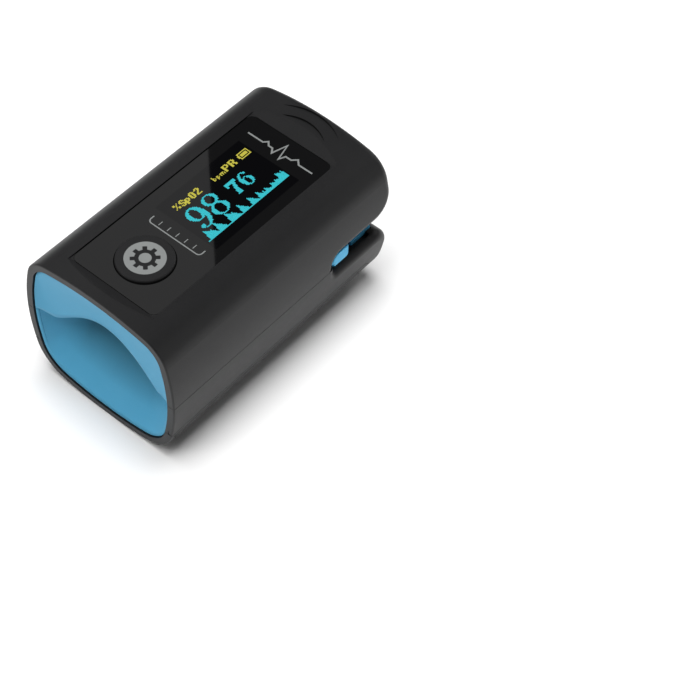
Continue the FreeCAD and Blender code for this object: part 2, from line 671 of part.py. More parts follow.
def lowerFrame():
    """The battery bay, with the tray for the lower pad as its roof."""
    outer = "bayHalf + bayWall"
    pieces = [block("trayPlate", ("-frameHalf", "frameHalf"), ("bayFront", "trayRear"),
                    ("trayUnder", "trayTop")),
              block("bayRoofTail", ("-(%s)" % outer, outer), ("trayRear - 1", "bayRear"),
                    ("trayUnder - 0.1", "deckUnder - 0.05")),
              block("bayFrontWall", ("-(%s)" % outer, outer), ("bayFront", "bayFront + bayWall"),
                    ("bayBase", "trayTop")),
              block("bayRearWall", ("-(%s)" % outer, outer), ("bayRear - bayWall", "bayRear"),
                    ("bayTailBase", "trayUnder")),
              block("bayDivider", ("-0.2", "0.2"), ("bayFront", "bayTail"),
                    ("cellZ + 2", "trayUnder"))]
    for side in (1, -1):
        x = ("bayHalf", outer) if side > 0 else ("-(%s)" % outer, "-bayHalf")
        pieces.append(block("bayCheek%d" % (side + 1), x, ("bayFront", "bayTail"),
                            ("bayBase", "trayUnder")))
        pieces.append(block("bayTailCheek%d" % (side + 1), x, ("bayTail - 1", "bayRear"),
                            ("bayTailBase", "trayUnder")))
        pieces += ear("lowerEar%d" % (side + 1), side, "lowerEarIn", "lowerEarOut", "trayUnder")
    bore = rod("lowerBore", "pinRadius", "2 * pinHalf", ("-pinHalf", "hingeY", "hingeZ"), "x")
    trench = block("flexTrench", ("-flexHalf - 0.2", "flexHalf + 0.2"), ("opticY", "trayRear + 1"),
                   ("trayTop - 0.35", "trayTop + 1"))
    ramp = doc.addObject("Part::Wedge", "trayRamp")
    for prop, text in (("Xmin", "-caseWidth"), ("Xmax", "caseWidth"), ("X2min", "-caseWidth"),
                       ("X2max", "caseWidth"), ("Ymin", "bayFront - 0.5"),
                       ("Ymax", "trayRampEnd"), ("Zmin", "noseOfTray"), ("Z2min", "trayTop + 0.1"),
                       ("Zmax", "trayTop + 2"), ("Z2max", "trayTop + 2")):
        bind(ramp, prop, text)
    keep(cut("lower_frame", fuse("lowerFrameBody", *pieces), bore, trench, ramp))


def hingeParts():
    keep(rod("hinge_pin", "pinRadius", "2 * pinHalf", ("-pinHalf", "hingeY", "hingeZ"), "x"))
    for side, name in ((-1, "left"), (1, "right")):
        turns = []
        for i in range(5):
            x = "%d * (coilStart + %d * coilPitch)" % (side, i)
            turns.append(ring("coil_%s%d" % (name, i), "coilRadius", "coilWire",
                              (x, "hingeY", "hingeZ")))
        low = "%d * coilStart" % side
        high = "%d * (coilStart + 4 * coilPitch)" % side
        turns.append(rod("legLow" + name, "coilWire", "legLong",
                         (low, "hingeY + 0.4", "hingeZ - coilRadius"), "y"))
        turns.append(rod("legHigh" + name, "coilWire", "legLong",
                         (high, "hingeY + 0.4", "hingeZ + coilRadius"), "y"))
        keep(fuse("torsion_spring_" + name, *turns))


# ---- soft pads ----

def oval(half, low, middle, high, power, y, count=24):
    """A closed smooth curve: a rounded oval whose upper and lower halves differ in height."""
    points = []
    for i in range(count):
        angle = 2 * math.pi * (i + 0.5) / count
        across, up = math.cos(angle), math.sin(angle)
        reach = (abs(across) ** power + abs(up) ** power) ** (-1 / power)
        tall = high - middle if up > 0 else middle - low
        points.append(Vector(half * across * reach, y, middle + tall * up * reach))
    curve = Part.BSplineCurve()
    curve.interpolate(Points=points, PeriodicFlag=True)
    return Part.Wire([curve.toShape()])


def box(x0, x1, y0, y1, z0, z1):
    return Part.makeBox(x1 - x0, y1 - y0, z1 - z0, Vector(x0, y0, z0))


def plug(inset, y0, y1):
    """A slice of the inside of the case, set in by a clearance."""
    outline = shellBore.makeOffset2D(-inset)
    face = Part.Face(outline)
    face.translate(Vector(0, y0 - face.BoundBox.YMin, 0))
    return face.extrude(Vector(0, y1 - y0, 0))


def channel(mouthEnd):
    """The finger's way in: the mouth tapers to the channel, which runs to the stop."""
    s = sizes
    rim = s["wall"] + s["padGap"] + s["mouthRim"]
    front = s["padFront"] - 0.05
    mouth = oval(s["caseWidth"] / 2 - rim, rim, s["seamHeight"], s["caseHeight"] - rim, 3.1, front)
    throat = [s["channelHalf"], s["channelFloor"], s["seamHeight"], s["channelTop"], 2.4]
    funnel = Part.makeLoft([mouth, oval(*throat, mouthEnd)], True)
    bore = Part.Face(oval(*throat, mouthEnd - 0.02))
    return funnel.fuse(bore.extrude(Vector(0, s["channelEnd"] - mouthEnd + 0.02, 0)))


def upperPad():
    s = sizes
    low = s["seamHeight"] + s["seamGap"] / 2
    inside = s["frameHalf"] - s["frameWall"] - s["padGap"]
    front = s["padFront"]
    back = s["frameFront"] - s["padGap"]
    stop = s["channelEnd"] + s["padStop"]
    roof = s["frameUnder"] - s["padGap"] / 2
    wide = s["caseWidth"]
    body = plug(s["padGap"], front, back)
    body = body.fuse(box(-inside, inside, back - 0.5, stop, low, roof))
    body = body.fuse(plug(s["padGap"], back - 0.5, s["skirtEnd"]).cut(
        plug(s["padGap"] + s["skirtThick"], back - 1, s["skirtEnd"] + 1)).common(
        box(-wide, wide, front, wide, low, s["skirtTop"])))
    body = body.common(box(-wide, wide, front, wide, low, s["caseHeight"]))
    body = body.cut(box(-wide, wide, s["lensFront"] - s["seatMargin"] - 0.3, wide,
                        s["boardTop"] - s["boardThick"] - 0.3, s["caseHeight"]))
    body = body.cut(channel(s["lipEnd"]))
    hatch = Vector(0, s["opticY"], s["channelTop"] - 2)
    body = body.cut(Part.makeCylinder(s["windowRadius"] + 0.05, 4, hatch))
    side = s["opticSide"] / 2 + 0.05
    body = body.cut(box(-side, side, s["opticY"] - side, s["opticY"] + side,
                        s["frameUnder"] - s["opticBoard"] - 0.05, s["caseHeight"]))
    handIn("upper_pad", body)


def lowerPad():
    s = sizes
    high = s["seamHeight"] - s["seamGap"] / 2
    inside = s["lowerEarIn"] - s["padGap"]
    front = s["padFront"]
    back = s["bayFront"] - s["padGap"]
    floor = s["trayTop"] + s["padGap"] / 2
    stop = s["channelEnd"] + s["padStop"]
    wide = s["caseWidth"]
    bed = s["deckTop"]
    web = bed + s["webThick"]
    gap = s["padGap"]
    rampFoot = s["bayFront"] - 0.5
    body = plug(s["padGap"], front, back)
    body = body.fuse(box(-inside, inside, back - 0.5, stop, floor, high))
    ramp = Part.makePolygon([Vector(-inside, y, z) for y, z in (
        (rampFoot, s["noseOfTray"] + gap), (s["trayRampEnd"], s["trayTop"] + 0.1 + gap),
        (s["trayRampEnd"], high), (rampFoot, high), (rampFoot, s["noseOfTray"] + gap))])
    body = body.fuse(Part.Face(ramp).extrude(Vector(2 * inside, 0, 0)))
    body = body.fuse(plug(s["padGap"], back, s["trayRampEnd"]).common(
        box(-wide, wide, front, wide, floor, high)))
    for end, top in ((stop, high), (s["lowSkirtEnd"], s["lowSkirtTop"])):
        body = body.fuse(plug(s["padGap"], back, end).cut(
            plug(s["padGap"] + s["skirtThick"], back - 1, end + 1)).common(
            box(-wide, wide, front, wide, bed, top)))
    body = body.fuse(box(-inside, inside, stop - 0.5, s["flapFront"], bed, web))
    for half, near_, far in ((s["flapNarrow"], s["flapFront"] - 0.5, s["flapStep"]),
                             (s["flapHalf"], s["flapStep"] - 0.01, s["flapEnd"])):
        body = body.fuse(box(-half, half, near_, far, bed, s["flapTop"]))
    body = body.common(box(-wide, wide, front, wide, 0, high))
    body = body.cut(channel(s["mouthEnd"]))
    hatch = Vector(0, s["opticY"], s["trayTop"] - 1)
    body = body.cut(Part.makeCylinder(s["windowRadius"] + 0.05, 4, hatch))
    side = s["opticSide"] / 2 + 0.05
    body = body.cut(box(-side, side, s["opticY"] - side, s["opticY"] + side, floor - 1,
                        s["trayTop"] + s["opticBoard"] + 0.05))
    flex = s["flexHalf"] + 0.2
    body = body.cut(box(-flex, flex, s["hingeY"] + 1.2, s["hingeY"] + 2.1, floor - 1, web + 1))
    handIn("lower_pad", body)


def handIn(name, shape):
    part = doc.addObject("Part::Feature", name)
    part.Shape = shape.removeSplitter()
    part.Placement = FreeCAD.Placement()
    keep(part, name)


# ---- light source, detector and their flat cable ----

def opticParts():
    side = "opticSide / 2"
    for name, low in (("emitter_board", "frameUnder - opticBoard"), ("detector_board", "trayTop")):
        keep(block(name, ("-" + side, side), ("opticY - " + side, "opticY + " + side),
                   (low, low + " + opticBoard")))
    top = "frameUnder - opticBoard"
    dies = [block("die%d" % i, ("%s - ledSide / 2" % x, "%s + ledSide / 2" % x),
                  ("opticY - ledSide / 2", "opticY + ledSide / 2"), (top + " - ledTall", top))
            for i, x in enumerate(("-0.9", "0.9"))]
    keep(group("emitter_leds", *dies))
    keep(rod("emitter_window", "windowRadius", "windowThick",
             ("0", "opticY", top + " - ledTall - 0.05 - windowThick")))
    half = "sensorSide / 2"
    base = "trayTop + opticBoard"
    keep(block("photodiode", ("-" + half, half), ("opticY - " + half, "opticY + " + half),
               (base, base + " + sensorTall")))
    keep(rod("detector_window", "windowRadius", "windowThick",
             ("0", "opticY", base + " + sensorTall + 0.05")))


def flexTail(name, *corners):
    """A flat cable: straight runs of one thickness, joined at square bends."""
    runs = []
    for i, ((y0, z0), (y1, z1)) in enumerate(zip(corners, corners[1:])):
        lows = [min(a, b, key=number) for a, b in ((y0, y1), (z0, z1))]
        highs = [max(a, b, key=number) for a, b in ((y0, y1), (z0, z1))]
        runs.append(block("%sRun%d" % (name, i), ("-flexHalf", "flexHalf"),
                          (lows[0], highs[0] + " + flexThick"),
                          (lows[1], highs[1] + " + flexThick")))
    keep(fuse(name, *runs))


def flexParts():
    bend = "hingeY + 1.5"
    flexTail("upper_flex", (bend, "hingeZ - 0.2"), (bend, "hingeZ + 3.4"),
             ("boardRear + 1", "hingeZ + 3.4"), ("boardRear + 1", "boardTop - boardThick - 0.2"),
             ("boardRear - 2", "boardTop - boardThick - flexThick"))
    flexTail("lower_flex", ("opticY + opticSide / 2 + 0.1", "trayTop - 0.25"),
             (bend, "trayTop - 0.25"), (bend, "hingeZ - 1.2"))


# ---- power ----

def cellAt(name, side, canFront):
    """A cell whose thinner core shows as the nub at the end that the can leaves free."""
    x = "%d * cellX" % side
    can = rod(name + "Can", "cellRadius", "cellLength - nubTall", (x, canFront, "cellZ"), "y")
    core = rod(name + "Core", "nubRadius", "cellLength", (x, "cellFront", "cellZ"), "y")
    keep(fuse(name, can, core))


def contactParts():
    plate = "bayFront + bayWall"
    rear = "bayRear - bayWall - contactThick"
    plates = []
    for side in (1, -1):
        x = "%d * cellX" % side
        plates.append(block("frontPlate%d" % (side + 1), (x + " - 4", x + " + 4"),
                            (plate, plate + " + contactThick"), ("cellZ - 3", "cellZ + 2.4")))
    keep(group("front_contacts", *plates))
    keep(block("rear_contact", ("-cellX - 4", "cellX + 4"), (rear, rear + " + contactThick"),
               ("cellZ - 2.2", "cellZ + 4")))
    turns = []
    for i, radius in enumerate(("3.0", "2.5", "2.0")):
        step = "contactWire + 0.05 + contactPitch * %d" % i
        turns.append(ring("frontTurn%d" % i, radius, "contactWire",
                          ("-cellX", plate + " + contactThick + " + step, "cellZ"), "y"))
        turns.append(ring("rearTurn%d" % i, "(%s) * rearShare" % radius, "contactWire",
                          ("cellX", rear + " - (%s)" % step, "cellZ"), "y"))
    keep(group("contact_springs", *turns))


topShell()
bottomShell()
batteryCover()
displayLens()
lensTape()
powerButton()
switchParts()
displayParts()
boardParts()
upperFrame()
lowerFrame()
hingeParts()
opticParts()
flexParts()
cellAt("battery_left", -1, "cellFront")
cellAt("battery_right", 1, "cellFront + nubTall")
contactParts()

bore = newBody("bore_outline")
boreSketch = newSketch(bore, "XZ_Plane", "0")
caseOutline("wall")(boreSketch)
doc.recompute()
shellBore = Part.Wire(Part.__sortEdges__(boreSketch.Shape.Edges))
upperPad()
lowerPad()
doc.recompute()

for item in doc.Objects:
    if "Invalid" in item.State or "Error" in item.State:
        raise RuntimeError("%s did not build" % item.Label)
for part in nodes:
    if part.Shape.isNull() or not part.Shape.isValid():
        raise RuntimeError("%s has no sound shape" % part.Label)

os.makedirs("parts", exist_ok=True)
for part in nodes:
    part.Shape.exportStep("parts/%s.step" % part.Label)
print("%d sub-parts written" % len(nodes))
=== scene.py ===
import json
import math

import bmesh
import bpy
from mathutils import Matrix, Vector

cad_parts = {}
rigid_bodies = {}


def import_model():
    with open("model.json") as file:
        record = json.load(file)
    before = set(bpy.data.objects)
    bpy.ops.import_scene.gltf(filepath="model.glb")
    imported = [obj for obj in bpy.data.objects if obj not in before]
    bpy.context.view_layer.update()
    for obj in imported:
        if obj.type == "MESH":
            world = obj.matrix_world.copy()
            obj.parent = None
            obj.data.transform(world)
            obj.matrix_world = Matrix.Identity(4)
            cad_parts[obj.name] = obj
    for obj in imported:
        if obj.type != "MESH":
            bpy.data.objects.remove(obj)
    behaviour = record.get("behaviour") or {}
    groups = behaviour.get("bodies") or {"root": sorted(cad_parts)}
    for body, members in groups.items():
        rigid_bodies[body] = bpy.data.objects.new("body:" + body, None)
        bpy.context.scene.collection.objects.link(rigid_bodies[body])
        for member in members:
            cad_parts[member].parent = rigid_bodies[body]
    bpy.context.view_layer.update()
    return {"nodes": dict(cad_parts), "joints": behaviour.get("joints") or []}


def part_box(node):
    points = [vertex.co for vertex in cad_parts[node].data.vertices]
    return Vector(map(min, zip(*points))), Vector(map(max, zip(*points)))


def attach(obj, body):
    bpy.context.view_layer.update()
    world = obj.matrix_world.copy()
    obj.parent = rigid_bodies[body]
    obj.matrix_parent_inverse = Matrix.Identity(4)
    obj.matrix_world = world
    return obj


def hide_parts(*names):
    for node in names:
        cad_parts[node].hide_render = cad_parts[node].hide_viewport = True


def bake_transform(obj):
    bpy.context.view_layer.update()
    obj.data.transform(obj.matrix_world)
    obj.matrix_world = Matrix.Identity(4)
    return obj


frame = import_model()
nodes = frame["nodes"]
mm = 0.001
print("frame loaded:", len(nodes), "nodes")

scene = bpy.context.scene


# shader maths: a socket that can be added, multiplied and so on like a number
class Flow:
    def __init__(self, finish, socket):
        self.finish = finish
        self.socket = socket

    def math(self, operation, first, second=0.0):
        return self.finish.add("Math", {"operation": operation}, {0: first, 1: second})

    def __add__(self, other):
        return self.math("ADD", self, other)

    def __radd__(self, other):
        return self.math("ADD", other, self)

    def __sub__(self, other):
        return self.math("SUBTRACT", self, other)

    def __rsub__(self, other):
        return self.math("SUBTRACT", other, self)

    def __mul__(self, other):
        return self.math("MULTIPLY", self, other)

    def __rmul__(self, other):
        return self.math("MULTIPLY", other, self)

    def __lt__(self, other):
        return self.math("LESS_THAN", self, other)

    def __gt__(self, other):
        return self.math("GREATER_THAN", self, other)

    def __abs__(self):
        return self.math("ABSOLUTE", self)

    def fract(self):
        return self.math("FRACT", self)


# one material under construction
class Finish:
    def __init__(self, name):
        self.material = bpy.data.materials.new(name)
        self.material.use_nodes = True
        self.tree = self.material.node_tree
        self.tree.nodes.clear()

    def add(self, kind, settings=None, inputs=None, out=0):
        node = self.tree.nodes.new("ShaderNode" + kind)
        for key, value in (settings or {}).items():
            setattr(node, key, value)
        for key, value in (inputs or {}).items():
            if isinstance(value, Flow):
                self.tree.links.new(value.socket, node.inputs[key])
            else:
                node.inputs[key].default_value = value
        return Flow(self, node.outputs[out])

    # a point of the piece in millimetres, squeezed along its axes
    def place(self, squeeze=(1.0, 1.0, 1.0)):
        point = self.add("TexCoord", out="Object")
        return self.add("Mapping", {}, {"Vector": point, "Scale": scaled(squeeze, 1 / mm)})

    def axes(self):
        parts = self.add("SeparateXYZ", {}, {0: self.place()})
        return [Flow(self, parts.socket.node.outputs[i]) for i in range(3)]

    # noise whose grain is given in millimetres, from 0 to 1
    def noise(self, grain, detail=3.0, rough=0.55, squeeze=(1.0, 1.0, 1.0)):
        return self.add("TexNoise", {"noise_dimensions": "3D"}, {
            "Vector": self.place(squeeze), "Scale": 1 / grain, "Detail": detail,
            "Roughness": rough})

    def cells(self, grain, randomness=1.0):
        return self.add("TexVoronoi", {"feature": "F1"}, {
            "Vector": self.place(), "Scale": 1 / grain, "Randomness": randomness})

    def mix(self, share, first, second):
        return self.add("Mix", {"data_type": "RGBA"},
                        {0: share, 6: colour(first), 7: colour(second)}, out=2)

    def bump(self, height, depth, strength=1.0):
        return self.add("Bump", {}, {"Height": height, "Distance": depth * mm,
                                     "Strength": strength})

    def done(self, surface):
        out = self.tree.nodes.new("ShaderNodeOutputMaterial")
        self.tree.links.new(surface.socket, out.inputs["Surface"])
        return self.material

    def plastic(self, inputs):
        return self.done(self.add("BsdfPrincipled", {}, inputs))


def colour(value):
    if isinstance(value, Flow):
        return value
    return (*value, 1.0)


# a tint or a point, each of its numbers times one share
def scaled(values, share):
    return tuple(c * share for c in values)


# a rise from 0 to 1 that stays flat before and after
def clipped(rise):
    return (rise > 0) * (rise < 1) * rise + (rise > 1)


# fine moulding texture, with faint clouds of tone and handling wear
caseLook = {"tint": (0.011, 0.011, 0.0115), "pale": (0.015, 0.015, 0.0155), "roughness": 0.42,
            "cloud": 9.0, "grain": 0.16, "pit": 0.256, "grainDepth": 0.010, "wear": 1.4,
            "bend": 1.34}


def caseFinish(name):
    look = Finish(name)
    clouds = look.noise(caseLook["cloud"], detail=4.0)
    grain = look.noise(caseLook["grain"], detail=2.0)
    pits = look.cells(caseLook["pit"])
    worn = look.noise(caseLook["wear"], detail=5.0, rough=0.7)
    texture = look.bump(grain * 0.7 + pits * 0.3, caseLook["grainDepth"], strength=0.8)
    return look.plastic({
        "Base Color": look.mix(clouds, caseLook["tint"], caseLook["pale"]),
        "Roughness": caseLook["roughness"] + (worn - 0.5) * 0.09 + (grain - 0.5) * 0.06,
        "IOR": caseLook["bend"], "Normal": texture})


# soft and matt; painted shade darkens the finger channel and a painted highlight brightens the tail
siliconeLook = {"tint": (0.082, 0.375, 0.590), "deep": (0.070, 0.340, 0.545), "roughness": 0.58,
                # the finger channel's painted shade: its dark colour, and where along y and across x
                # it falls
                "inside": (0.020, 0.130, 0.190), "shadeFrom": -27.3, "shadeTo": -21.8,
                "shadeHalf": 13.6, "shadeFade": 5.0,
                # the tail's painted highlight: a brighter, lit blue from tailFrom back
                "tail": (0.100, 0.520, 0.860), "tailFrom": 11.5,
                "cloud": 6.0, "dust": 0.5, "grain": 0.22, "grainDepth": 0.012, "bend": 1.36,
                "glow": 0.08, "glowDepth": 0.6, "bloom": 0.05}


def siliconeFinish():
    look = Finish("softSilicone")
    clouds = look.noise(siliconeLook["cloud"])
    grain = look.noise(siliconeLook["grain"], detail=2.5)
    dust = look.noise(siliconeLook["dust"], detail=6.0, rough=0.75)
    x, y, z = look.axes()
    # painted shade: the colour darkens into the finger channel, deeper back and nearer the middle,
    # stopping before the tail
    start, end = siliconeLook["shadeFrom"], siliconeLook["shadeTo"]
    inside = clipped((y - start) * (1 / (end - start)))
    edge = clipped((siliconeLook["shadeHalf"] - abs(x)) * (1 / siliconeLook["shadeFade"]))
    inside = inside * edge * (y < siliconeLook["tailFrom"])
    skin = look.mix(clouds, siliconeLook["deep"], siliconeLook["tint"])
    skin = look.mix(inside, skin, siliconeLook["inside"])
    # painted highlight: the tail behind tailFrom takes the brighter, lit blue
    skin = look.mix(y > siliconeLook["tailFrom"], skin, siliconeLook["tail"])
    return look.plastic({
        "Base Color": skin,
        "Roughness": siliconeLook["roughness"] + (dust - 0.5) * 0.16,
        "Subsurface Weight": siliconeLook["glow"], "Subsurface Radius": (0.4, 0.8, 1.0),
        "Subsurface Scale": siliconeLook["glowDepth"] * mm,
        "Sheen Weight": siliconeLook["bloom"], "Sheen Roughness": 0.4,
        "IOR": siliconeLook["bend"],
        "Normal": look.bump(grain, siliconeLook["grainDepth"], strength=0.7)})


# the smoked window: printed black round a darker clear field
lensLook = {"print": (0.0032, 0.0032, 0.0034), "field": (0.0006, 0.0006, 0.0010),
            "fieldX": (-7.1, 7.5), "fieldY": (-7.4, 14.6), "roughness": 0.015, "speckle": 0.35,
            "smear": 14.0, "scuff": 0.9}


def lensFinish():
    look = Finish("smokedWindow")
    x, y, z = look.axes()
    x0, x1 = lensLook["fieldX"]
    y0, y1 = lensLook["fieldY"]
    wide = abs(x - (x0 + x1) / 2) < (x1 - x0) / 2
    long = abs(y - (y0 + y1) / 2) < (y1 - y0) / 2
    speckle = look.noise(lensLook["speckle"])
    smear = look.noise(lensLook["smear"], 2.0, 0.5, squeeze=(1.0, 0.25, 1.0))
    scuff = look.noise(lensLook["scuff"], 5.0, 0.8, squeeze=(1.0, 0.1, 1.0))
    ink = look.mix(speckle, lensLook["print"], scaled(lensLook["print"], 1.25))
    return look.plastic({
        "Base Color": look.mix(wide * long, ink, lensLook["field"]),
        "Roughness": lensLook["roughness"] + smear * 0.015 + (scuff > 0.72) * 0.02,
        "IOR": 1.5, "Normal": look.bump(smear, depth=0.004, strength=0.1)})


def inkFinish(name, tint, roughness=0.5):
    look = Finish(name)
    edge = look.noise(0.12)
    fade = look.noise(2.5)
    return look.plastic({"Base Color": look.mix(fade, tint, scaled(tint, 1.12)),
                         "Roughness": roughness + (edge - 0.5) * 0.2,
                         "Normal": look.bump(edge, depth=0.004, strength=0.5)})


def litFinish(name, tint, glow):
    look = Finish(name)
    grain = look.noise(0.25, detail=2.0)
    return look.plastic({"Base Color": look.mix(grain, scaled(tint, 0.1), scaled(tint, 0.05)),
                         "Emission Color": look.mix(grain, scaled(tint, 0.90), tint),
                         "Emission Strength": glow, "Roughness": 0.35})


def metalFinish(name, tint, roughness, drawn=(1.0, 1.0, 1.0)):
    look = Finish(name)
    lines = look.noise(0.18, 4.0, 0.6, squeeze=drawn)
    tarnish = look.noise(3.0, detail=4.0)
    return look.plastic({"Base Color": look.mix(tarnish, scaled(tint, 0.82), tint),
                         "Metallic": 1.0, "Roughness": roughness + (lines - 0.5) * 0.18,
                         "Normal": look.bump(lines, depth=0.004, strength=0.6)})


def mouldedFinish(name, tint, roughness=0.42, grain=0.3):
    look = Finish(name)
    clouds = look.noise(7.0)
    fine = look.noise(grain)
    return look.plastic({"Base Color": look.mix(clouds, scaled(tint, 0.86), tint),
                         "Roughness": roughness + (fine - 0.5) * 0.14,
                         "Normal": look.bump(fine, depth=0.01, strength=0.5)})


# solder mask with fine tracks and tinned pads
boardLook = {"mask": (0.012, 0.115, 0.050), "track": (0.022, 0.185, 0.080),
             "pad": (0.62, 0.56, 0.42), "pitch": 1.3, "trackHalf": 0.13, "padReach": 0.16}


def boardFinish():
    look = Finish("greenBoard")
    pitch = boardLook["pitch"]
    x, y, z = look.axes()
    lane = (x * (1 / pitch) + look.noise(8.0, detail=0.0) * 1.5).fract()
    track = abs(lane - 0.5) < boardLook["trackHalf"]
    pad = look.cells(pitch * 1.7, randomness=0.35) < boardLook["padReach"]
    base = look.mix(track, boardLook["mask"], boardLook["track"])
    return look.plastic({"Base Color": look.mix(pad, base, boardLook["pad"]),
                         "Metallic": pad * 0.9, "Roughness": 0.34 - pad * 0.08,
                         "Normal": look.bump(track * 0.6 + pad, depth=0.02, strength=0.6)})


def foamFinish():
    look = Finish("blackFoam")
    holes = look.cells(0.14)
    tone = look.mix(look.noise(2.0), (0.008, 0.008, 0.008), (0.02, 0.02, 0.02))
    return look.plastic({"Base Color": tone, "Roughness": 0.9 - holes * 0.1,
                         "Normal": look.bump(holes, depth=0.05, strength=0.9)})


# amber film with copper tracks along it
filmLook = {"amber": (0.30, 0.105, 0.012), "pale": (0.40, 0.16, 0.022),
            "copper": (0.52, 0.26, 0.07), "lanes": 1.6, "trackHalf": 0.22}


def filmFinish():
    look = Finish("amberFilm")
    x, y, z = look.axes()
    copper = abs((x * filmLook["lanes"]).fract() - 0.5) < filmLook["trackHalf"]
    clouds = look.noise(3.0)
    film = look.mix(clouds, filmLook["amber"], filmLook["pale"])
    return look.plastic({"Base Color": look.mix(copper, film, filmLook["copper"]),
                         "Roughness": 0.32 + clouds * 0.08,
                         "Normal": look.bump(copper, depth=0.01, strength=0.5)})


def clearFinish():
    look = Finish("clearResin")
    swirl = look.noise(1.2)
    return look.plastic({"Base Color": look.mix(swirl, (0.78, 0.84, 0.88), (0.9, 0.94, 0.96)),
                         "Roughness": 0.06 + swirl * 0.05, "Transmission Weight": 0.85,
                         "IOR": 1.5, "Normal": look.bump(swirl, depth=0.01, strength=0.3)})


# plain two-tone wrap with a bare metal end at each side
cellLook = {"wrap": (0.012, 0.022, 0.038), "band": (0.35, 0.21, 0.05), "metal": (0.66, 0.65, 0.62),
            "front": -18.4, "rear": 22.9, "bandWidth": 9.0}


def cellFinish(name, bandRear):
    look = Finish(name)
    x, y, z = look.axes()
    middle = (cellLook["front"] + cellLook["rear"]) / 2
    half = (cellLook["rear"] - cellLook["front"]) / 2
    wrapped = abs(y - middle) < half
    if bandRear:
        banded = y > cellLook["rear"] - cellLook["bandWidth"]
    else:
        banded = y < cellLook["front"] + cellLook["bandWidth"]
    crinkle = look.noise(0.8, 5.0, 0.6, squeeze=(1.0, 0.3, 1.0))
    wrap = look.mix(banded, cellLook["wrap"], cellLook["band"])
    return look.plastic({"Base Color": look.mix(wrapped, cellLook["metal"], wrap),
                         "Metallic": 1 - wrapped * 0.8, "Roughness": 0.26 + crinkle * 0.12,
                         "Normal": look.bump(crinkle, depth=0.02, strength=0.4)})


shellFinish = caseFinish("satinCase")
silicone = siliconeFinish()
greyPrint = inkFinish("greyPrint", (0.175, 0.183, 0.181))
springSteel = metalFinish("springSteel", (0.60, 0.60, 0.59), 0.28)
plated = metalFinish("platedNickel", (0.74, 0.72, 0.68), 0.20)
amber = filmFinish()
nodeFinish = {
    shellFinish: ("top_shell", "bottom_shell", "battery_cover"),
    foamFinish(): ("lens_tape", "display_gasket"),
    caseFinish("satinButton"): ("power_button",),
    metalFinish("stampedSteel", (0.58, 0.58, 0.57), 0.3, (1.0, 0.2, 1.0)): ("tact_switch",),
    mouldedFinish("chipEpoxy", (0.022, 0.022, 0.023), 0.38, 0.12): (
        "switch_plunger", "board_chips", "buzzer", "photodiode"),
    mouldedFinish("panelGlass", (0.004, 0.004, 0.010), 0.12): ("oled_panel",),
    amber: ("display_flex",),
    boardFinish(): ("main_board", "emitter_board", "detector_board"),
    springSteel: ("board_screws", "hinge_pin"),
    mouldedFinish("whiteNylon", (0.62, 0.63, 0.62), 0.45): ("upper_frame", "lower_frame"),
    mouldedFinish("dieEpoxy", (0.50, 0.05, 0.03), 0.25, 0.1): ("emitter_leds",),
    clearFinish(): ("emitter_window", "detector_window"),
    plated: ("front_contacts", "rear_contact"),
    cellFinish("leftCell", bandRear=True): ("battery_left",),
    cellFinish("rightCell", bandRear=False): ("battery_right",),
}
for material, names in nodeFinish.items():
    for name in names:
        nodes[name].data.materials.clear()
        nodes[name].data.materials.append(material)
print("finishes made:", len(bpy.data.materials))


# mesh helpers; every size they take is in millimetres
def linked(name, data):
    piece = bpy.data.objects.new(name, data)
    scene.collection.objects.link(piece)
    return piece


def evaluatedMesh(piece):
    graph = bpy.context.evaluated_depsgraph_get()
    return bpy.data.meshes.new_from_object(piece.evaluated_get(graph))


def meshFrom(shape, name, material=None):
    mesh = bpy.data.meshes.new(name)
    shape.to_mesh(mesh)
    shape.free()
    if material:
        mesh.materials.append(material)
    return mesh


def meshPiece(name, points, faces, material, smooth=True):
    mesh = bpy.data.meshes.new(name)
    mesh.from_pydata([scaled(point, mm) for point in points], [], faces)
    mesh.materials.append(material)
    if smooth:
        mesh.shade_smooth()
    return linked(name, mesh)


def settled(piece):
    mesh = evaluatedMesh(piece)
    piece.modifiers.clear()
    piece.data = mesh
    return piece


def joined(name, pieces):
    shape = bmesh.new()
    for piece in pieces:
        shape.from_mesh(piece.data)
    mesh = meshFrom(shape, name, pieces[0].data.materials[0])
    for piece in pieces:
        bpy.data.objects.remove(piece)
    return linked(name, mesh)


def facingOut(piece):
    shape = bmesh.new()
    shape.from_mesh(piece.data)
    bmesh.ops.remove_doubles(shape, verts=shape.verts, dist=1e-7)
    bmesh.ops.recalc_face_normals(shape, faces=shape.faces)
    shape.to_mesh(piece.data)
    shape.free()
    return piece


# rounds the sharp edges of a piece
def eased(piece, width, angle=50, hard=True):
    bevel = piece.modifiers.new("ease", "BEVEL")
    bevel.width = width * mm
    bevel.segments = 3
    bevel.limit_method = "ANGLE"
    bevel.angle_limit = math.radians(angle)
    bevel.harden_normals = hard
    piece.data.shade_smooth()
    return settled(piece)


def walled(piece, thick, offset):
    wall = piece.modifiers.new("wall", "SOLIDIFY")
    wall.thickness = thick * mm
    wall.offset = offset
    return settled(piece)


# the mesh that a curve makes, with its finish
def curveMesh(name, curve, material):
    holder = linked(name, curve)
    mesh = evaluatedMesh(holder)
    bpy.data.objects.remove(holder)
    mesh.materials.clear()
    mesh.materials.append(material)
    return mesh


